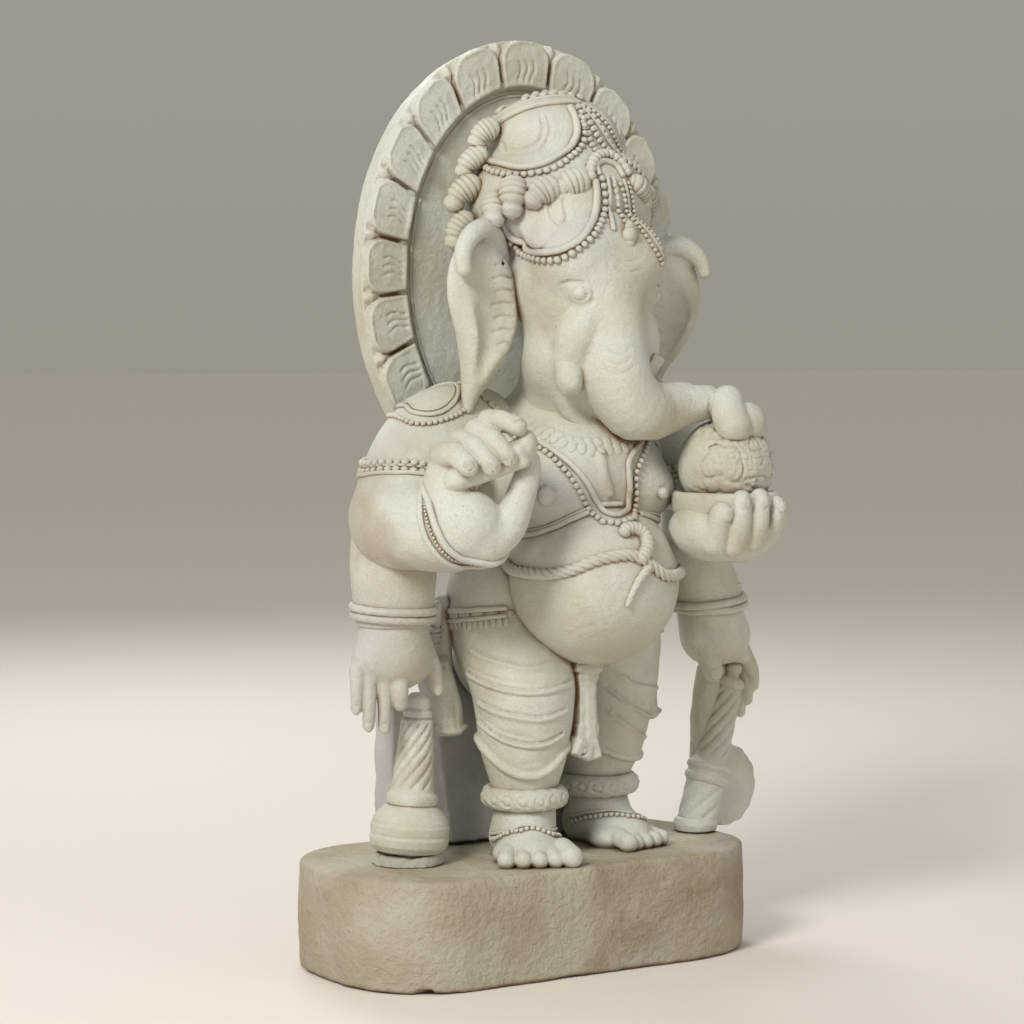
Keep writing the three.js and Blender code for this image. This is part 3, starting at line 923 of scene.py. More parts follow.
def build_arm(side):
    node = SIDE_NAME[side]
    at = partial(beside, side)
    low, high = sorted((across(side, 60), across(side, 290)))
    clay = Clay((low, -186, 420), (high, 80, 668), 2.2)
    if side < 0:
        bicep, elbow, wrist = at(190, -22, 552, 60), at(222, -38, 505, 53), at(208, -122, 492, 40)
        bulge = (-2, -18, 0, 0)
    else:
        bicep, elbow, wrist = at(172, -22, 552, 54), at(184, -48, 526, 38), at(178, -118, 480, 34)
        bulge = (0, 0, 0, 0)
    clay.add(bend(at(104, 2, 596, 52), at(150, -8, 588, 60), bicep, elbow))
    if side < 0:
        groove(clay, [(-266, -68, 526), (-253, -75, 539), (-238, -91, 542), (-229, -105, 540)], 1.2, 3)
    clay.add(bend(elbow, 0.5 * (np.array(elbow) + np.array(wrist)) + bulge, wrist), 12)
    clay.weather(*BODY_WAVES)
    piece(node + "_arm", clay.mesh(), ["upper_arm_" + node, "front_forearm_" + node])
    return clay


def build_rear_forearm(side):
    node = SIDE_NAME[side]
    x = across(side, REAR_OUT)
    clay = Clay((x - 76, -70, 378), (x + 60, 50, 560), 2.2)
    if side < 0:
        clay.add(bend((x, -14, 500, 47), (x, -10, 450, 48), (x, -10, 388, 41)))
    else:
        upper = ((x - 28, -16, 512, 38), (x - 18, -10, 440, 40))
        clay.add(bend(*upper, (x - 5, -10, 402, 41), (x, -10, 384, 41)))
    clay.weather((0.5, 26))
    clay.above(386)
    piece("rear_" + node + "_forearm", clay.mesh(), ["rear_forearm_" + node])
    return clay


def build_rear_hand(side):
    node = SIDE_NAME[side]
    x, y = across(side, REAR_OUT), -10.0
    clay = Clay((x - 76, -72, 236), (x + 84, 46, 414), 1.6)
    clay.add(bend((x, y, 408, 38), (x, y, 384, 39), (x + side * 2, y - 2, 356, 36)))
    if side < 0:
        clay.add(ball((x - 2, y - 2, 350), (50, 28, 34)), 16)
        fingers = (
            ((-49, -16, 340, 9), (-53, -22, 316, 7), (-54, -22, 299, 6)),
            ((-37, -18, 336, 10), (-40, -26, 306, 7.5), (-40, -24, 280, 6.5)),
            ((-20, -20, 336, 10.5), (-22, -28, 306, 8), (-21, -26, 277, 7)),
            ((-3, -22, 336, 11), (-7, -36, 318, 9.5), (-6, -34, 303, 8.5)),
        )
        thumb = ((30, -14, 366, 14), (44, -18, 338, 10), (50, -20, 314, 7.5))
        nails, facing = (
            (fingers[0], 4), (fingers[1], 4.4), (fingers[2], 4.8), (thumb, 4.4),
        ), (-0.5, -1, -0.1)
    else:
        clay.add(ball((x + 10, y - 2, 352), (44, 28, 32)), 16)
        fingers = (
            ((40, -14, 338, 12), (60, -12, 308, 9), (66, -8, 288, 6.5)),
            ((44, -4, 334, 12), (59, -3, 296, 9), (61, -3, 271, 6.5)),
            ((40, 4, 332, 12), (53, 4, 286, 9), (55, 3, 256, 6.5)),
            ((20, -16, 332, 13), (34, -22, 330, 11), (42, -22, 326, 9)),
        )
        thumb = ((-22, -18, 352, 17), (-16, -30, 330, 13.5), (-13, -34, 313, 12))
        nails, facing = ((thumb, 6),), (-0.4, -1, -0.1)
    for stations in (*fingers, thumb):
        clay.add(bend(*[(x + q[0], *q[1:]) for q in stations], step=5), 3)
    for stations, wide in nails:
        tip = stations[-1]
        nail(clay, (x + tip[0], tip[1], tip[2] - 1), facing, wide, wide + 1.5)
    clay.weather((0.3, 18))
    piece("rear_" + node + "_hand", clay.mesh(), ["rear_hand_" + node])
    return clay


# ---------------------------------------------------------------- head


def build_head():
    clay = Clay((MID - 104, -212, 590), (MID + 200, 40, 882), 1.7)
    clay.add(ball((MID, -60, 765), (82, 83, 100)))
    for side in (-1, 1):
        clay.add(ball((across(side, 40), -104, 790), (36, 34, 34)), 24)
    here = partial(set_off, SWEET)
    clay.add(
        bend(
            (MID, -104, 752, 46),
            (MID + 1, -122, 700, 37),
            (MID + 4, -129, 652, 38),
            (MID + 26, -132, 624, 37),
            here(-78, 623, -24, 31),
            here(-50, 628, -10, 25),
            here(-24, 631, -4, 19.5),
        ),
        14,
    )
    clay.add(ball((MID, -70, 676), (76, 66, 64)), 18)
    clay.add(limb((MID, -30, 600, 62), (MID, -50, 660, 62)), 12)
    for side in (-1, 1):
        clay.add(
            bend(
                (across(side, 26), -116, 728, 25), (across(side, 40), -111, 702, 25),
                (across(side, 46), -107, 680, 22),
            ),
            4,
        )
    clay.add(bend((MID - 46, -90, 642, 12), (MID - 34, -90, 620, 11), (MID - 18, -96, 604, 9)), 3)
    clay.add(bend(here(0, 632, -16, 18), here(2, 616, -28, 20), here(6, 604, -32, 20.5)), 1.5)
    clay.add(ball(here(19, 607, -13), (25, 24, 24.5), HAND_TURN), 3)
    clay.keep(lambda x, y, z: np.where(x > SWEET[0] - 40, z - 649.5, -9.0))
    for side, x, y in ((-1, -48, -129), (1, 57, -120)):
        spot = lay([(MID + x, y, 750)], [clay])[0][0]
        facing = unit((0.55 * side, -1, 0.05))
        level = unit(np.cross(facing, (0, 0, 1)))
        lid = oval(spot, (11, 9.5), level, (0, 0, 1))
        clay.add(line(lay(lid, [clay], 0.4)[0], 2.6), 1.5)
        clay.add(ball(spot - 1.5 * facing, 8.4), 0.4)
        outer_ring = oval(spot + 2 * level * -side, (19, 17), level, (0, 0, 1), -150, 60)
        clay.cut(line(lay(outer_ring, [clay], 0.5)[0], 1.7), 1.5)
        brow = [spot - side * level * q + (0, 0, h) for q, h in ((21, 9), (14, 12), (6, 14), (-4, 13))]
        clay.cut(line(lay(spline(brow, 2), [clay])[0], 1.8), 1.5)
    for points, width in (
        ([(-13, -141, 791), (3, -143, 785), (21, -142, 788)], 1.5),
        ([(-12, -145, 779), (4, -147, 773), (23, -143, 778)], 1.5),
        ([(-68, -36, 624), (-58, -58, 614), (-48, -74, 609), (-30, -88, 603), (-17, -91, 597)], 2.0),
    ):
        groove(clay, points, width, 0.8, 0.3)
    for drop, reach, depth in ((692, 11, 9), (684, 13, 11), (675, 15, 13)):
        arc = oval((MID - 17, -157, drop), (reach + 3, depth), (0.85, -0.5, 0), (0, 0, 1), 190, 350)
        clay.cut(line(lay(arc, [clay], 0.3)[0], 1.5), 0.8)
    clay.weather((0.5, 30), (0.12, 6))
    piece("head_and_trunk", clay.mesh(), ["head", "trunk"])
    return clay


def build_tusks():
    for side, name in SIDE_NAME.items():
        x = across(side, 45)
        clay = Clay((x - 42, -150, 630), (x + 42, -66, 704), 1.4)
        if side < 0:
            clay.add(limb((x - 5, -104, 690, 15), (x - 8, -116, 660, 15.5), (x - 10, -119, 654, 14.5)))
            clay.add(ball((x - 12, -123, 648), (9, 9, 8)), 4)
            clay.shift(lambda x, y, z: np.where(z < 662, 1.6 * noise(x, y, z, 8), 0.4 * noise(x, y, z, 12)))
        else:
            clay.add(block((x + 4, -114, 674), (20, 30, 30), (20, 25, 10), 2))
            clay.add(limb((x - 2, -96, 682, 11), (x + 2, -112, 676, 10)), 3)
        piece("tusk_" + name + "_stub", clay.mesh(), ["tusk_" + name])


def build_crown():
    clay = Clay((MID - 124, -146, 770), (MID + 124, 80, 990), 1.8)
    clay.add(ball((MID, -8, 850), (110, 106, 80)))
    clay.add(ball((MID, 0, 925), (76, 74, 52)), 14)
    clay.add(ball((MID, 6, 800), (94, 60, 70)), 20)
    clay.add(ball((MID - 48, -91, 824), (44, 17, 36), (-42, 0, -26)), 16)
    for points in (
        [(-48, -50, 947), (-50, -56, 932), (-58, -52, 915), (-74, -24, 908), (-76, -12, 918)],
        [(-42, -54, 947), (-43, -61, 930), (-53, -58, 911), (-70, -42, 905), (-79, -14, 905)],
        [(-66, -93, 850), (-63, -98, 832), (-56, -104, 824), (-49, -104, 832), (-52, -102, 852)],
    ):
        groove(clay, points, 2.3, 0.8)
    clay.weather((0.4, 26))
    piece("crown_dome", clay.mesh(), ["crown_base", "crown_top"])
    return clay


def build_ear(side):
    out = partial(beside, side)
    low, high = sorted((across(side, 60), across(side, 190)))
    clay = Clay((low, -92, 606), (high, 10, 840), 1.6)
    if side < 0:
        flap, cup = (122, (43, 15, 66)), (32, 14, 62)
        lobe = (out(116, -44, 720, 30), out(122, -46, 690, 26), out(132, -50, 662, 17))
        lobe += (out(142, -54, 640, 10), out(147, -56, 624, 6))
        roll = (out(158, -68, 776, 8.5), out(157, -64, 795, 10), out(144, -60, 814, 11))
        roll += (out(122, -54, 822, 11), out(101, -44, 808, 10), out(90, -38, 790, 7))
        hollow = (out(120, -70, 712, 15), out(126, -70, 690, 12), out(136, -68, 664, 5))
    else:
        flap, cup = (125, (46, 15, 57)), (32, 14, 48)
        lobe = (
            out(124, -44, 726, 32), out(118, -46, 700, 24), out(108, -48, 672, 15), out(100, -50, 650, 9),
        )
        roll = (out(166, -64, 776, 7), out(163, -62, 788, 9), out(150, -58, 801, 11))
        roll += (out(130, -54, 808, 11), out(102, -46, 798, 9))
        hollow = (out(120, -68, 712, 13), out(116, -68, 696, 9), out(112, -66, 680, 4))
    clay.add(ball(out(flap[0], -46, 748), flap[1], (0, side * 10, 0)), 18)
    clay.add(bend(*lobe), 18)
    clay.cut(ball(out(114, -68, 745), cup, (0, side * 8, 0)), 5)
    clay.cut(bend(*hollow), 8)
    clay.add(bend(*roll), 5)
    for k in range(7):
        z = 782 - 14.5 * k
        inner, outer = 86 + 0.24 * k * k, 110 + 3 * (k % 2)
        wrinkle = clay.land([out(inner, -60, z), out(100, -60, z + 1.5), out(outer, -60, z - 1)])
        clay.cut(line(spline(wrinkle, 2), 1.9), 1.5)
    clay.weather((0.3, 22))
    piece(SIDE_NAME[side] + "_ear", clay.mesh(), ["ear_" + SIDE_NAME[side]])


# ---------------------------------------------------------------- front hands, sweet and bowl

RAISED = (-150.0, -152.0)  # the upright line that the raised hand is set out from


def nail(clay, tip, facing, width=5.6, length=6.4, tilt=0.0):
    """A flat nail on the side of a finger tip that faces a direction."""
    f = unit(facing)
    heading = math.degrees(math.atan2(f[0], -f[1]))
    spot = clay.land([np.array(tip[:3])], -f, back=24)[0]
    clay.cut(ball(spot, (width + 1.3, 1.5, length + 1.3), (0, tilt, heading)), 0.6)
    clay.add(ball(spot - f * 0.4, (width, 1.9, length), (0, tilt, heading)), 0.3)


def build_raised_hand():
    here = partial(set_off, RAISED)
    clay = Clay((-232, -214, 440), (-78, -86, 640), 1.6)
    clay.add(ball(here(-14, 503, -2), (37, 29, 38), HAND_TURN))
    clay.add(limb((-171, -122, 490, 36), here(-16, 500, 4, 32)), 14)
    clay.add(
        bend(here(-32, 505, 8, 28), here(-37, 530, 12, 25), here(-40, 556, 14, 20), here(-34, 578, 10, 16)),
        12,
    )
    clay.add(
        bend(
            here(4, 482, 0, 22), here(27, 499, 4, 19), here(39, 526, 8, 17), here(47, 550, 12, 14.5),
            here(52, 571, 16, 11),
        ),
        8,
    )
    clay.add(block(here(8, 567, 1), (86, 36, 27), (0, -24, -32), 7), 1.5)
    clay.add(ball(here(-24, 553, -2), (17, 20, 14), (0, -20, -32)), 4)
    clay.add(ball(here(48, 588, 4), (12, 18, 17), HAND_TURN), 5)
    fingers = (
        ((-41, 577, 6, 14), (-27, 580, -12, 13), (-13, 567, -24, 11)),
        ((-22, 594, 8, 12), (-5, 587, -13, 11.5), (12, 566, -22, 10)),
        ((-6, 604, 10, 12), (13, 594, -11, 11.5), (30, 575, -17, 10)),
        ((8, 614, 12, 12), (21, 614, -2, 11.5), (39, 608, -9, 10)),
    )
    for f in fingers:
        clay.add(limb(*[here(*s) for s in f]), 1.6)
    toward = unit(-INTO + (0, 0, 0.25))
    for f, tilt in zip(fingers[:3], (-38, -42, -42)):
        nail(clay, here(*f[-1]), toward, 6.2, 7.2, tilt)
    nail(clay, here(*fingers[3][-1]), unit(-INTO * 0.7 + (0, 0, 0.6)), 5.5, 6, -70)
    nail(clay, here(49, 562, 18), ACROSS, 5.5, 8)
    clay.weather(*HAND_WAVES)
    piece("raised_right_hand", clay.mesh(), ["raised_hand_right", "held_cake"])
    return clay


def build_cupped_hand():
    here = partial(set_off, SWEET)
    clay = Clay((98, -232, 430), (262, -80, 545), 1.7)
    clay.add(ball(here(-2, 486, -8), (60, 50, 33), HAND_TURN))
    clay.add(ball(here(-22, 490, -18), (42, 44, 34), HAND_TURN), 10)
    clay.cut(ball((SWEET[0], SWEET[1], 536), (55, 55, 46)), 3)
    fingers = (
        ((-16, 478, -48, 17), (-12, 498, -57, 14), (-9, 510, -60, 12.5)),
        ((6, 474, -45, 15), (12, 499, -57, 12.5), (13, 524, -56, 11)),
        ((27, 478, -38, 14), (33, 502, -49, 11.5), (34, 526, -45, 10.5)),
        ((43, 482, -22, 13), (52, 503, -33, 11), (53, 517, -29, 10.5)),
        ((50, 488, -6, 13), (58, 504, -8, 11), (58, 515, -4, 10)),
    )
    for f in fingers:
        clay.add(bend(*[here(*s) for s in f], step=5), 2)
    nail(clay, here(-7, 509, -60), unit(-INTO + 0.6 * ACROSS), 6.5, 8)
    nail(clay, here(13, 521, -56), unit(-INTO + 0.3 * ACROSS), 6, 8)
    nail(clay, here(34, 522, -45), unit(-INTO + 0.6 * ACROSS), 5.5, 8)
    nail(clay, here(53, 514, -29), unit(-INTO + 1.0 * ACROSS), 5.5, 7)
    clay.weather(*HAND_WAVES)
    piece("cupped_left_hand", clay.mesh(), ["cupped_hand_left"])


def build_sweet():
    clay = Clay(SWEET - 62, SWEET + 62, 1.5)
    clay.add(ball(SWEET, 54))

    def wrinkled(x, y, z):
        right = (x - SWEET[0]) * ACROSS[0] + (y - SWEET[1]) * ACROSS[1]
        strength = np.clip((right + 44) / 26, 0.12, 1) + 0 * z
        warp = 6 * noise(x + 40, y, z, 16)
        veins = np.abs(noise(x + warp, y - warp, z + warp, 15))
        fine = np.abs(noise(x - 70, y + 20, z, 6.5))
        return strength * (2.8 * np.exp(-((veins / 0.1) ** 2)) + 1.5 * np.exp(-((fine / 0.15) ** 2)))

    clay.shift(wrinkled)
    piece("wrinkled_sweet", clay.mesh(), ["sweet_ball"])


def build_bowl():
    profile = [
        (1, 456), (24, 457), (38, 462), (47, 474), (51, 490), (52, 503), (55, 506), (60.5, 508),
        (61.5, 518), (61, 527), (58, 531), (52, 532),
    ]
    clay = Clay((SWEET[0] - 66, SWEET[1] - 66, 450), (SWEET[0] + 66, SWEET[1] + 66, 536), 1.8)

    def shell(x, y, z):
        r = np.sqrt((x - SWEET[0]) ** 2 + (y - SWEET[1]) ** 2)
        limit = np.interp(z, [q[1] for q in profile], [q[0] for q in profile]).astype(np.float32)
        return np.maximum(np.maximum((r - limit) * 0.8, z - 531), 456 - z)

    clay.add([(clay.low, clay.high, shell)])
    clay.cut(ball((SWEET[0], SWEET[1], 545), (54, 54, 44)), 2)
    clay.weather((0.35, 16))
    piece("sweet_bowl", clay.mesh(), ["bowl"])


# ---------------------------------------------------------------- crown, cords and curls


def dress_crown(crown, head):
    both = (crown, head)
    rows = (
        (
            [
                (-90, 4, 902), (-89, -23, 895), (-81, -58, 888), (-60, -76, 892), (-33, -77, 906),
                (-17, -73, 924), (-14, -66, 942), (-14, -56, 957),
            ],
            4.3,
        ),
        (
            [
                (-98, -46, 834), (-86, -52, 812), (-79, -79, 796), (-70, -118, 795), (-50, -133, 808),
                (-24, -120, 832), (-16, -112, 854), (-15, -108, 874),
            ],
            4.3,
        ),
        ([(-8, -102, 878), (-7, -98, 890), (6, -92, 894), (20, -94, 890), (24, -100, 878)], 3.6),
        ([(1, -107, 880), (0, -118, 850), (-5, -131, 820)], 2.9),
        ([(9, -106, 878), (12, -117, 850)], 2.5),
        ([(24, -104, 876), (30, -117, 845), (44, -131, 815), (56, -135, 788)], 2.2),
    )
    parts = [cord(points, both, radius) for points, radius in rows]
    rim = [(-76, 14, 930), (-69, -9, 945), (-53, -28, 955), (-30, -42, 961), (2, -50, 962)]
    for k, radius in enumerate((3.8, 3.0, 3.6)):
        parts.append(cord(moved(rim, 4.6 * k, 4.6 * k), both, radius))
    arch = trace(
        [(-20, -106, 874), (-16, -101, 888), (-2, -92, 901), (16, -86, 904), (29, -90, 896), (33, -98, 882)],
        both, 2.0, step=1.0,
    )
    run = np.arange(len(arch))
    parts.append(tube(arch, 4.6 + 1.9 * np.abs(np.sin(run * 0.4)), 14))
    piece("crown_cords", merge(*parts), ["crown_tassel"])

    rows = (
        (
            [
                (-86, 18, 896), (-96, -29, 885), (-88, -58, 880), (-70, -78, 882), (-50, -87, 889),
                (-27, -84, 903), (-9, -77, 919), (-6, -72, 935), (-4, -58, 957),
            ],
            4.3,
        ),
        (
            [
                (-98, -38, 828), (-88, -44, 810), (-77, -62, 793), (-72, -118, 786), (-52, -137, 800),
                (-29, -131, 817), (-9, -117, 838), (-6, -112, 858), (-7, -109, 876),
            ],
            4.4,
        ),
        ([(8, -108, 868), (12, -116, 850), (14, -127, 832)], 3.4),
        ([(17, -108, 870), (23, -114, 850), (30, -126, 828), (38, -137, 806), (54, -136, 784)], 3.1),
        ([(30, -104, 872), (42, -122, 836), (54, -134, 800)], 2.6),
    )
    parts = [string(points, both, radius) for points, radius in rows]
    drop = lay([(MID + 13, -140, 818)], both)[0][0]
    for dz, r in ((10, 6.5), (0, 10), (-8, 7.4), (-14, 4)):
        parts.append(globe(drop + (0, -2, dz), (r, r * 0.8, r), 6, 5))
    piece("crown_beads", merge(*parts))

    ring = [(30, 40, 962), (62, 34, 938), (82, 26, 906), (98, 16, 870)]
    rows = (
        (
            [(-2, -46, 966), (14, -58, 950), (34, -64, 932), (52, -58, 914), (68, -54, 892), (84, -50, 866)],
            (3.0, 2.6, 3.0), 0.3, 0.8,
        ),
        (
            [(-4, -58, 957), (6, -72, 934), (22, -76, 914), (44, -78, 900), (64, -74, 880)],
            (3.6, 2.8, 5.4), 0.3, 0.8,
        ),
        ([(-8, -66, 946), (0, -76, 922), (8, -84, 906)], (3.4, 2.8, 5.2), 0.3, 0.8),
        (
            [(4, -54, 958), (18, -68, 936), (38, -70, 914), (58, -66, 896), (78, -62, 868)],
            (4.2, 2.6, 3.2), 0.3, 0.8,
        ),
        (mirrored(ring), (4.2, 2.8, 5.0), 0.4, 0.6),
        (ring, (4.2, 2.8, 5.0), 0.4, 0.6),
        (
            [(-46, -14, 966), (-34, -24, 970), (-18, -30, 974), (-2, -36, 972), (10, -38, 967)],
            (5.4, 4.6, 6.0), 0, 2.0,
        ),
        ([(-38, -4, 971), (-18, -14, 977), (2, -20, 975)], (5.2, 4.4, 5.6), 0, 1.2),
        (
            [(-60, 20, 958), (-30, 44, 962), (0, 52, 962), (30, 44, 962), (60, 20, 956)], (5.0, 4.0, 5.5),
            0, 1.0,
        ),
    )
    parts = [studs(points, both, size, gap, lift) for points, size, gap, lift in rows]
    for points in (
        [(-2, -52, 962), (10, -66, 942), (30, -72, 920), (50, -70, 904), (72, -66, 872), (88, -50, 846)],
        [(4, -46, 964), (24, -56, 946), (44, -58, 926), (62, -50, 906), (78, -44, 884), (94, -34, 850)],
    ):
        parts.append(cord(points, both, 1.9))
    piece("crown_jewels", merge(*parts))


def build_curls():
    """Ribbed locks: a column of four outside the crown on each side, and a row across the brow."""
    parts = []
    column = (
        ([(-78, 0, 936), (-85, -3, 935), (-95, 0, 928), (-101, 4, 916)], (6, 13, 12.5, 10)),
        ([(-92, 4, 905), (-99, 0, 904), (-111, 2, 895), (-116, 6, 882)], (6, 13.5, 12.5, 10)),
        ([(-104, -2, 872), (-112, -6, 870), (-125, -2, 860), (-132, 2, 846)], (6, 15, 14, 11)),
        ([(-112, -4, 834), (-120, -6, 831), (-129, -4, 819), (-131, -2, 804)], (6, 14, 13.5, 11)),
    )
    for points, radii in column:
        for flip in (1, -1):
            if flip < 0:
                points = moved(points, 0, 14)
            p = [(MID + flip * q[0], q[1], q[2]) for q in points]
            parts.append(curl(p, radii))
    row = (
        ([(-98, -34, 852), (-107, -48, 850), (-113, -56, 838), (-114, -56, 825)], (8, 14.5, 14.5, 10)),
        ([(-84, -48, 867), (-91, -61, 865), (-97, -69, 852), (-98, -68, 836)], (10, 16.5, 16, 10.5)),
        ([(-54, -78, 867), (-62, -87, 865), (-74, -86, 859), (-83, -82, 848)], (11, 15.5, 15, 10.5)),
        ([(-20, -90, 876), (-28, -97, 874), (-42, -96, 870), (-53, -90, 862)], (11, 16.5, 15.5, 9)),
        ([(36, -98, 876), (46, -100, 872), (58, -94, 862), (66, -88, 848)], (8, 12, 11.5, 8)),
        ([(64, -84, 866), (74, -80, 862), (86, -70, 850), (92, -62, 836)], (8, 12, 11.5, 8)),
        ([(84, -48, 850), (94, -42, 846), (104, -34, 832), (104, -30, 816)], (9, 13, 12, 8.5)),
    )
    for points, radii in row:
        p = np.array(points, float) + (MID, 0, 0)
        parts.append(curl(p, radii))
    for k in range(7):
        a = math.radians(-66 + 22 * k)
        x, y = 100 * math.sin(a), 8 + 62 * math.cos(a)
        p = [
            (MID + 0.86 * x, 0.86 * y, 878), (MID + 0.97 * x, 0.97 * y, 876), (MID + 1.0 * x, 1.0 * y, 860),
            (MID + 0.96 * x, 0.96 * y, 844),
        ]
        parts.append(curl(p, (9, 15, 14.5, 10)))
    piece("ribbed_curls", merge(*parts), ["hair_curls"])


# ---------------------------------------------------------------- necklaces, bands and rope


def dress_torso(torso, arms):
    body = [torso]
    parts = [cord(
        [
            (-74, -90, 586), (-66, -106, 578), (-45, -126, 552), (-24, -128, 521), (-17, -134, 510),
            (-6, -141, 507), (12, -132, 512), (16, -130, 532), (15, -129, 562), (27, -123, 576),
            (45, -111, 587),
        ],
        body, 3.6,
    )]
    bead_line = [
        (-80, -88, 584), (-71, -103, 574), (-56, -125, 547), (-39, -127, 520), (-27, -143, 501),
        (-8, -149, 498), (12, -144, 502), (26, -130, 520), (25, -130, 548), (34, -126, 564),
        (55, -109, 584),
    ]
    parts.append(string(bead_line[:5], body, 3.8))
    parts.append(string(bead_line[4:7], body, 4.6))
    parts.append(string(bead_line[6:], body, 3.8))
    parts.append(cord([(-20, -128, 519), (-7, -130, 519), (6, -130, 519)], body, 3.4))
    rim = [
        (-78, -31, 623), (-72, -74, 601), (-61, -98, 592), (-47, -113, 584), (-26, -122, 580),
        (-3, -124, 580), (26, -120, 583), (52, -108, 592), (70, -84, 602), (80, -40, 622),
    ]
    parts.append(studs(rim, body, (5.6, 1.8, 8.5), 0.0, -0.4))
    parts.append(studs([(q[0] * 0.97, q[1] * 0.98, q[2] + 9) for q in rim], body, (5.6, 1.6, 6.0), 0.2, -0.5))
    shoulder = [(-128, -20, 640), (-112, -40, 634), (-98, -52, 618), (-90, -66, 600), (-86, -80, 588)]
    for points in (shoulder, mirrored(shoulder)):
        parts.append(studs(points, [*body, *arms], (4.0, 2.6, 7.5), 0.2, 0.4))
        parts.append(string(moved(points, -10), [*body, *arms], 2.8))
    piece("necklaces", merge(*parts), ["necklace"])

    band = [
        (28, -134, 506), (46, -128, 503), (70, -112, 498), (88, -84, 492), (98, -50, 490), (104, -16, 490),
    ]
    band += [(98, 30, 496), (60, 66, 500), (0, 78, 502), (-60, 66, 500), (-98, 30, 492)]
    band += [
        (-104, -20, 486), (-93, -47, 485), (-83, -64, 484), (-78, -90, 487), (-67, -111, 495),
        (-55, -121, 503), (-36, -128, 511),
    ]
    parts = [cord(band, body, 3.3), cord(moved(band, 5.2), body, 1.9)]
    piece("chest_cords", merge(*parts), ["chest_band"])

    waist = [
        (-100, -10, 454), (-95, -30, 453), (-92, -60, 447), (-94, -94, 445), (-86, -125, 445),
        (-71, -146, 450), (-51, -159, 459), (-33, -167, 464), (-10, -172, 465),
    ]
    waist += [
        (13, -176, 455), (28, -174, 445), (43, -169, 441), (70, -150, 441), (90, -116, 443), (96, -60, 448),
        (102, -10, 456), (90, 44, 462), (0, 70, 464), (-90, 44, 462),
    ]
    parts = [tube(trace(waist, body, 1.2, True, 0.9), 5.8, 24, twist=(4, 38, 0.4))]
    hood = trace(
        [
            (-12, -160, 486), (-7, -157, 491), (4, -157, 492), (13, -160, 486), (13, -167, 476),
            (6, -172, 466), (-2, -175, 460),
        ],
        body, 3.2, step=0.9,
    )
    run = np.arange(len(hood))
    ribbed = (6.8 + 1.1 * np.abs(np.sin(run * 0.55))) * np.interp(run, (0, 8, 20), (0.75, 1.0, 1))
    parts.append(tube(hood, ribbed, 16))
    tail = trace(
        [(14, -175, 458), (4, -178, 447), (-6, -178, 436), (-13, -177, 423), (-17, -175, 411)], body, 1.6,
    )
    parts.append(tube(tail, np.linspace(5.6, 2.8, len(tail)), 20, twist=(4, 34, 0.3)))
    piece("belly_cord", merge(*parts), ["belly_rope"])


def dress_arm(side, clays):
    """The shoulder plate and armlet of one side, set out for the right arm and mirrored for the left."""
    node = SIDE_NAME[side]
    flip = (lambda p: p) if side < 0 else mirrored
    rim = [
        (-200, -14, 626), (-202, -33, 619), (-191, -50, 617), (-172, -53, 623), (-150, -41, 638),
        (-138, -10, 648), (-150, 20, 644), (-180, 28, 634), (-197, 12, 628),
    ]
    parts = [cord(flip(rim), clays, 2.6, True)]
    inner_rim = [(-170 + (x + 170) * 0.86, -12 + (y + 12) * 0.86, z + 4) for x, y, z in rim]
    parts.append(cord(flip(inner_rim), clays, 1.4, True))
    around = [
        (-212, -14, 615), (-211, -38, 609), (-204, -51, 607), (-190, -58, 609), (-173, -60, 614),
        (-157, -58, 620), (-138, -48, 632), (-126, -10, 642), (-140, 32, 640), (-180, 42, 622),
        (-206, 16, 618),
    ]
    parts.append(string(flip(around), clays, 3.3, True))
    piece("shoulder_plate_" + node + "_rim", merge(*parts), ["shoulder_plate_" + node])

    loop = [
        (-254, -20, 561), (-246, -51, 563), (-227, -71, 563), (-204, -82, 560), (-170, -80, 556),
        (-146, -52, 556), (-146, 0, 560), (-170, 34, 566), (-210, 38, 566), (-244, 16, 563),
    ]
    if side > 0:
        loop = [(0.93 * q[0], q[1], q[2] - 4) for q in loop]
    parts = []
    for rise, radius in ((-9.5, 2.6), (1.5, 2.2)):
        rope = trace(flip(moved(loop, rise)), clays, 0.8, True, 1.2)
        parts.append(tube(rope, radius, 12, twist=(2, 9, 0.25)))
    parts.append(string(flip(moved(loop, 4.5)), clays, 4.6, True))
    parts.append(studs(flip(moved(loop, -4.5)), clays, (4.6, 3.4, 3.6), 0.4, 0.6, True))
    piece("armlet_" + node + "_band", merge(*parts), ["armlet_" + node])


def build_front_bangle(arm, hand):
    here = partial(set_off, RAISED)
    outer = [
        (-60, 545, 18), (-64, 528, -2), (-61, 499, -20), (-51, 479, -21), (-34, 464, -14), (-8, 457, -2),
        (14, 466, 14), (22, 490, 28), (8, 520, 38), (-20, 542, 40), (-45, 555, 34),
    ]
    inner = [
        (-53, 545, 14), (-55, 528, -5), (-46, 500, -24), (-36, 482, -25), (-19, 469, -20), (1, 467, -14),
        (20, 474, 4), (26, 496, 22), (10, 524, 32), (-16, 546, 34), (-40, 555, 28),
    ]
    parts = []
    for stations, radius in ((outer, 3.4), (inner, 4.0)):
        loop = lay(spline([here(*q) for q in stations], 2.0, True), (arm, hand), 0.8)[0]
        parts.append(tube(loop, radius, 12))
    middle_line = [tuple(0.5 * (np.array(a) + np.array(b))) for a, b in zip(outer, inner)]
    loop = lay(spline([here(*q) for q in middle_line], 2.0, True), (arm, hand), 0.2)[0]
    parts.append(beads(loop, 2.2))
    piece("front_bangle", merge(*parts), ["front_bangle_right"])


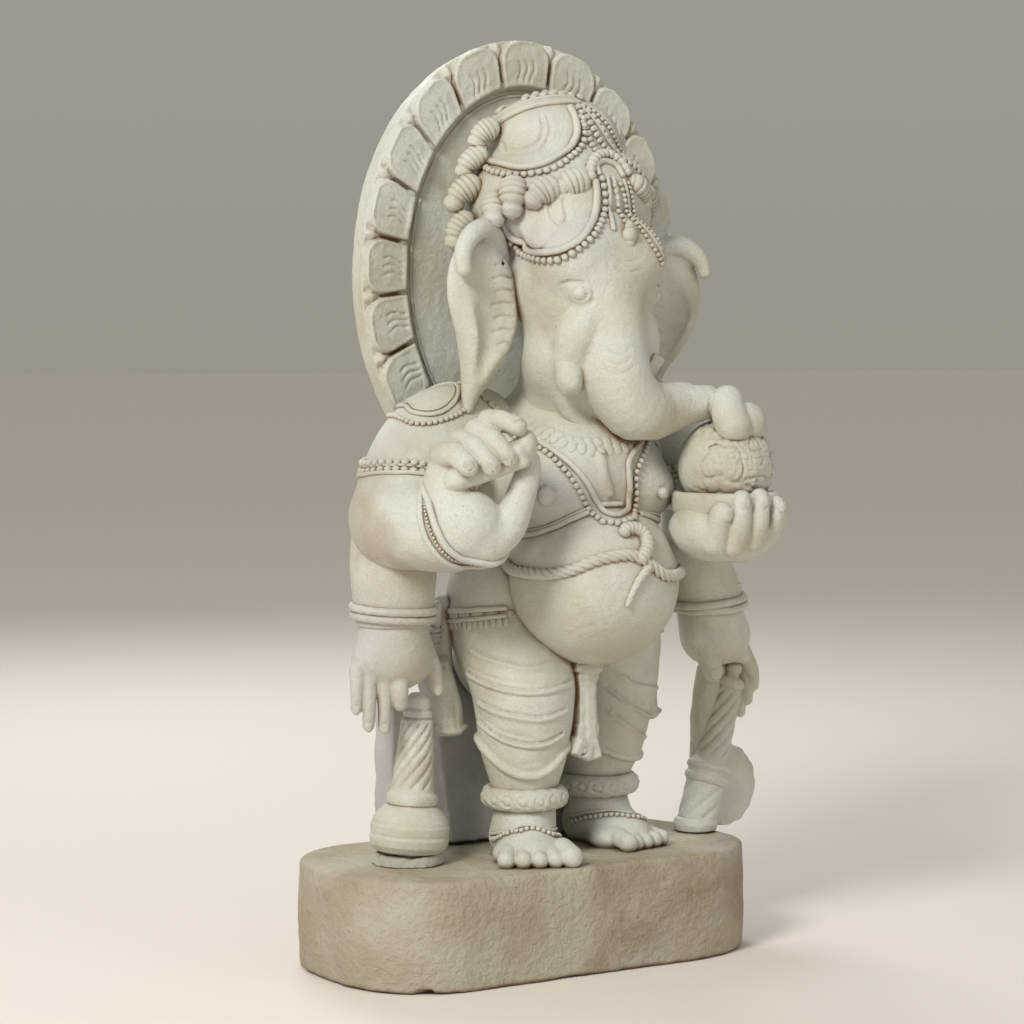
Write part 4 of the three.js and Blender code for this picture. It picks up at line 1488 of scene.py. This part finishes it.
def build_rear_bangle(side, clays):
    node = SIDE_NAME[side]
    drop, tilt = (0, -0.04) if side < 0 else (9, 0.13)
    centre = np.array((across(side, REAR_OUT), -10, middle("rear_bangle_" + node)[2] - drop))
    parts = []
    for dz in (4.4, -4.4):
        loop = oval(
            centre + (0, 0, dz), (43, 43), (1, 0, tilt), (0, 1, 0.05), 0, 360, 2.0,
        )
        loop = lay(loop, clays, 1.2)[0]
        parts.append(tube(loop, 4.7, 14, twist=(2, 26, 0.1)))
    piece("rear_bangle_" + node + "_cords", merge(*parts), ["rear_bangle_" + node])


# ---------------------------------------------------------------- belt, sashes, anklets and foot beads


def build_belt(torso, hips, legs):
    clays = (torso, hips, *legs)
    half = [
        (-95, -54, 403), (-117, -34, 401), (-127, -11, 398), (-131, 16, 396), (-126, 44, 398),
        (-92, 70, 400), (-44, 80, 402),
    ]
    loop = half + mirrored(half)[::-1]
    parts = [cord(loop, clays, 3.2), cord(moved(loop, -10), clays, 2.8)]
    parts.append(studs(moved(loop, -5), clays, (8, 1.2, 4.4), 1, 0.0))
    parts.append(studs(moved(loop, -17), clays, (3.6, 1.7, 6.5), 0.3, 0.0))
    piece("belt", merge(*parts), ["waist_belt"])


def build_centre_sash():
    x, y = MID - 6.0, -80.0
    clay = Clay((x - 30, -112, 218), (x + 30, -46, 352), 1.3)
    clay.add(block((x, y + 6, 294), (23, 22, 88), (0, -2, 0), 1.5))
    clay.add(block((x + 2, y + 3, 290), (12, 22, 84), (0, -2, 0), 1.5), 1)
    clay.add(block((x - 1, y + 6, 258), (27, 24, 26), (0, 6, 0), 2), 2)
    clay.add(block((x - 9, y, 244), (26, 22, 20), (0, 24, 8), 3), 2)
    clay.add(block((x + 5, y + 2, 242), (20, 20, 22), (0, -14, -10), 3), 2)
    clay.add(block((x - 1, y - 1, 337), (34, 18, 15), (0, 3, 0), 2.5), 1)
    clay.add(block((x, y + 3, 326), (27, 18, 12), (0, 3, 0), 3), 3)
    clay.cut(line([(x - 20, y - 9, 328), (x, y - 10, 329), (x + 20, y - 9, 330)], 1.5), 1)
    for lift in (5, 10):
        clay.cut(
            line([(x - 20, y - 10, 329 + lift), (x, y - 11, 331 + lift), (x + 20, y - 10, 331 + lift)], 1.3),
            0.8,
        )
    for rise in (262, 274, 286, 298, 310):
        clay.cut(line([(x - 3, y - 9, rise), (x + 2, y - 9, rise + 3), (x + 8, y - 9, rise)], 1.2), 1)
    turns = np.linspace(0, 2.6 * math.pi, 30)
    reach = 11 - 1.2 * turns
    clay.cut(
        line(
            np.stack(
                [
                    x - 9 + reach * np.cos(turns + 0.8), y - 12 + 0.06 * reach**2,
                    243 + 0.8 * reach * np.sin(turns + 0.8),
                ],
                1,
            ),
            1.4,
        ),
        1,
    )
    clay.weather((0.7, 10), (0.3, 5))
    piece("centre_sash_cloth", clay.mesh(), ["centre_sash"])


def build_side_sash(side):
    node = SIDE_NAME[side]
    spot = partial(beside, side)
    low, high = sorted((across(side, 102), across(side, 170)))
    clay = Clay((low, -14, 250), (high, 52, 414), 1.6)
    clay.add(
        bend(spot(140, 12, 336, 10), spot(137, 14, 312, 15), spot(133, 15, 286, 19), spot(133, 15, 266, 20)),
        3,
    )
    clay.add(bend(spot(132, 26, 400, 14), spot(134, 28, 340, 15), spot(132, 28, 280, 16)), 4)
    clay.add(limb(spot(146, 12, 403, 6.5), spot(148, 12, 384, 6.5)), 1)
    for k in range(4):
        clay.add(ball(spot(151 + 0.5 * k, 11, 376 - 5.6 * k), (9.5, 8, 3.4)), 0.8)
        for dx in (-4, 4):
            clay.cut(ball(spot(151 + 0.5 * k + dx, 3.5, 373.4 - 5.6 * k), (1.7, 3.2, 1.7)), 0.4)
    clay.add(ball(spot(144, 6, 334), (10, 6, 9)), 1)
    clay.cut(ball(spot(143, 0, 334), (3.2, 4, 3)), 1)
    for k in range(8):
        a = math.radians(45 * k)
        clay.cut(ball(spot(144 + 7 * math.cos(a), 0.5, 334 + 6.5 * math.sin(a)), (1.4, 2.2, 1.4)), 0.6)
    for dx in (-10, -3, 5):
        clay.cut(
            line(
                [spot(139 + 0.4 * dx, -1, 322), spot(135 + dx, -3, 296), spot(133 + 1.3 * dx, -5, 262)],
                1.3,
            ),
            2,
        )
    clay.add(line([spot(114, 4, 266), spot(126, -4, 262), spot(140, -4, 262), spot(152, 4, 266)], 3), 2)
    clay.weather((0.4, 14))
    clay.above(257)
    piece("side_sash_" + node + "_cloth", clay.mesh(), ["side_sash_" + node])


def build_anklet(side):
    node = SIDE_NAME[side]
    centre = (ANKLE[side]) - (0, 0, 4)
    clay = Clay(centre - (54, 54, 18), centre + (54, 54, 18), 1.3)

    def ring(x, y, z):
        return np.hypot(np.hypot(x - centre[0], y - centre[1]) - 37, z - centre[2]) - 12.0

    def relief(x, y, z):
        turn = np.arctan2(y - centre[1], x - centre[0]) * 8
        height = (z - centre[2]) / 6.0
        flower = np.hypot(((turn / math.pi) % 1 - 0.5) * 3.2, height)
        leaf = np.abs(np.sin(turn + 2.5 * height))
        carved = 1.5 * np.exp(-(((flower - 0.95) / 0.2) ** 2)) + 0.8 * (1 - leaf) ** 2
        return carved + 0.7 * noise(x, y, z, 5) - 0.6

    clay.add([(clay.low, clay.low + 108, ring)])
    clay.shift(relief)
    piece("anklet_" + node + "_ring", clay.mesh(), ["anklet_" + node])


def build_foot_beads(side, foot):
    node = SIDE_NAME[side]
    if side < 0:
        points = [
            (-103, -30, 142), (-95, -56, 147), (-84, -80, 151), (-64, -96, 155), (-44, -88, 154),
            (-30, -70, 148), (-24, -40, 140),
        ]
    else:
        points = [
            (32, 4, 145), (35, -20, 153), (53, -40, 156), (72, -56, 155), (92, -52, 153), (108, -30, 146),
            (114, -4, 138),
        ]
    parts = [string(points, [foot], 3.2), cord(moved(points, 5, 4), [foot], 1.8)]
    piece("foot_beads_" + node, merge(*parts))


# ---------------------------------------------------------------- mace and axe

MACE_FOOT, MACE_AXIS = (-157, -8, 132.3), (14, 0, 180)
AXE_FOOT, AXE_AXIS = (234, -8, 128), (57, 0, 194)


def build_mace():
    clay = Clay((-206, -58, GROUND - 3), (-108, 42, 142), 1.5)

    def mound(x, y, z):
        off = np.hypot(x - MACE_FOOT[0], y - MACE_FOOT[1])
        return np.maximum(off - 40 + 0.35 * (z - GROUND), z - 133)

    clay.add([(clay.low, clay.low + 100, mound)])
    clay.weather((2.0, 13), (1.2, 5))
    clay.above(GROUND - 0.5)
    piece("cement_bed", clay.mesh(), ["mace_bedding"], "bedding_cement")
    head = [
        (30, 0), (38, 2.5), (43, 9), (44.5, 18), (43, 20.5), (43.6, 23), (44, 31), (42.4, 33.5), (42, 37),
        (38, 44), (31, 51), (27, 54),
    ]
    piece("mace_knob", turned(head, MACE_FOOT, MACE_AXIS, 64), ["mace_head"])
    shaft = [
        (24, 52), (28, 55), (28.8, 60), (28.2, 65), (25, 68), (24, 70), (17.6, 148), (14, 150), (16, 152),
        (16, 158), (13, 160), (13.4, 164), (12.6, 172), (9, 177), (2, 179),
    ]
    piece(
        "mace_handle", turned(shaft, MACE_FOOT, MACE_AXIS, 100, (10, 0.0062, 2.8, 72, 146)), ["mace_shaft"],
    )


def build_axe():
    foot = [(20, 0), (25, 1.5), (26.5, 9), (24, 15), (20, 17.5)]
    piece("axe_base", turned(foot, (234, -8, GROUND), (0, 0, 1), 48), ["axe_foot"])
    grip = [(20, 3), (22.6, 6), (23.4, 12), (23.2, 47), (22, 52)]
    piece("axe_grip", turned(grip, AXE_FOOT, AXE_AXIS, 84, (7, 0.006, 2.4, 9, 50)), ["axe_shaft"])
    shaft = [
        (21, 50), (24, 52), (26.4, 56), (26.8, 59), (24, 63), (24, 65), (27, 69), (26.6, 73), (22.6, 77),
        (20.6, 80), (20, 84),
    ]
    shaft += [
        (17.4, 160), (15, 167), (18, 170), (18.4, 174), (16, 178), (9.6, 181), (9.4, 184), (11, 189),
        (11.2, 194), (9.4, 200), (6, 204), (1, 206),
    ]
    piece("axe_handle", turned(shaft, AXE_FOOT, AXE_AXIS, 96, (8, 0.006, 3.0, 83, 163)), ["axe_shaft"])
    clay = Clay((216, -34, GROUND - 4), (298 + MID, 34, 330), 1.6)
    strut = ((240, 6, 128, 17), (256, 6, 200, 18), (260, 7, 250, 19), (266, 6, 296, 19), (268, 4, 322, 15))
    clay.add(bend(*strut))
    clay.weather((0.9, 16), (0.4, 6))
    clay.above(GROUND - 1)
    piece("axe_web", clay.mesh(), ["axe_strut"])
    clay = Clay((236, -20, GROUND - 4), (344, 22, 232), 1.5)
    clay.add(ball((282, 1, 171), (46, 12, 51)))
    clay.add(ball((262, 1, 170), (30, 11, 34)), 8)

    def worn(x, y, z):
        edge = np.clip((np.hypot((x - 282) / 46, (z - 171) / 51) - 0.72) / 0.28, 0, 1)
        chipped = 1.6 * noise(x, y, z, 9) + 1.4 * np.abs(noise(x, y, z, 4)) + 1.0
        return edge * chipped + 0.3 * noise(x, y, z, 18)

    clay.shift(worn)
    clay.keep(lambda x, y, z: np.maximum(GROUND + 0.5 - z, np.abs(y - 1) - 8.5))
    piece("axe_edge", clay.mesh(), ["axe_blade"])


def build_all():
    build_plinth()
    build_back_supports()
    build_halo()
    torso = build_torso()
    hips = build_hips()
    legs, feet, arms = {}, {}, {}
    for side in SIDE_NAME:
        legs[side] = build_leg(side)
        feet[side] = build_foot(side)
        arms[side] = build_arm(side)
        wrist = build_rear_forearm(side)
        palm = build_rear_hand(side)
        build_rear_bangle(side, (wrist, palm))
        build_anklet(side)
        build_foot_beads(side, feet[side])
        dress_arm(side, (arms[side], wrist))
        build_side_sash(side)
    head = build_head()
    build_tusks()
    crown = build_crown()
    build_ear(-1)
    build_ear(1)
    hand = build_raised_hand()
    build_cupped_hand()
    build_sweet()
    build_bowl()
    dress_crown(crown, head)
    build_curls()
    dress_torso(torso, arms.values())
    build_front_bangle(arms[-1], hand)
    build_belt(torso, hips, legs.values())
    build_centre_sash()
    build_mace()
    build_axe()


build_all()

# ---------------------------------------------------------------- floor, light and camera

FLOOR_REACH = 60.0  # metres
floor_mesh = bpy.data.meshes.new("floor")
floor_corners = [(x * FLOOR_REACH, y * FLOOR_REACH, 0) for x, y in ((-1, -1), (1, -1), (1, 1), (-1, 1))]
floor_mesh.from_pydata(floor_corners, [], [(0, 1, 2, 3)])
floor = bpy.data.objects.new("floor", floor_mesh)
bpy.context.scene.collection.objects.link(floor)
paint = bpy.data.materials.new("floor_paint")
paint.use_nodes = True
paint.node_tree.nodes["Principled BSDF"].inputs["Base Color"].default_value = (0.78, 0.73, 0.66, 1)
paint.node_tree.nodes["Principled BSDF"].inputs["Roughness"].default_value = 0.9
floor_mesh.materials.append(paint)

world = bpy.data.worlds.new("studio")
bpy.context.scene.world = world
world.use_nodes = True
sky = world.node_tree.nodes
heading = sky.new("ShaderNodeTexCoord")
apart = sky.new("ShaderNodeSeparateXYZ")
rise = sky.new("ShaderNodeMapRange")
rise.inputs["From Min"].default_value = 0.0
rise.inputs["From Max"].default_value = 0.9
tint = sky.new("ShaderNodeMix")
tint.data_type = "RGBA"
world.node_tree.links.new(heading.outputs["Generated"], apart.inputs[0])
world.node_tree.links.new(apart.outputs["Z"], rise.inputs["Value"])
world.node_tree.links.new(rise.outputs[0], tint.inputs["Factor"])
shades = [k for k in tint.inputs if k.type == "RGBA"]
shades[0].default_value = (0.62, 0.57, 0.5, 1)
shades[1].default_value = (0.9, 0.88, 0.84, 1)
world.node_tree.links.new([k for k in tint.outputs if k.type == "RGBA"][0], sky["Background"].inputs[0])
sky["Background"].inputs[1].default_value = 0.52


def lamp(name, place, aim, size, watts, colour=(1, 1, 1)):
    data = bpy.data.lights.new(name, "AREA")
    data.shape = "DISK"
    data.size = size
    data.energy = watts
    data.color = colour
    made = bpy.data.objects.new(name, data)
    made.location = place
    made.rotation_euler = (Vector(aim) - Vector(place)).to_track_quat("-Z", "Y").to_euler()
    bpy.context.scene.collection.objects.link(made)


TARGET = (0.0, 0.0, 0.55)
lamp("key", (-3.2, -1.75, 3.0), TARGET, 1.3, 142, (1.0, 0.985, 0.955))
lamp("fill", (1.4, -3.2, 1.8), TARGET, 2.2, 12, (1.0, 0.97, 0.93))
lamp("back", (0.6, 2.6, 2.4), TARGET, 1.6, 40)

AZIMUTH = -32.0
DISTANCE = 3200.0
EYE_HEIGHT = 693.0
SIDEWAYS = -14.0
PITCH = 3.357
LENS = 99.49
a = math.radians(AZIMUTH)
camera_data = bpy.data.cameras.new("camera")
camera_data.lens = LENS
camera_data.sensor_width = 36
camera = bpy.data.objects.new("camera", camera_data)
camera.location = (
    (math.sin(a) * DISTANCE + SIDEWAYS * math.cos(a)) * MM,
    (-math.cos(a) * DISTANCE + SIDEWAYS * math.sin(a)) * MM,
    EYE_HEIGHT * MM,
)
camera.rotation_euler = (math.radians(90 - PITCH), 0, a)
bpy.context.scene.collection.objects.link(camera)
bpy.context.scene.camera = camera
bpy.context.scene.view_settings.view_transform = "Standard"

bpy.context.view_layer.update()
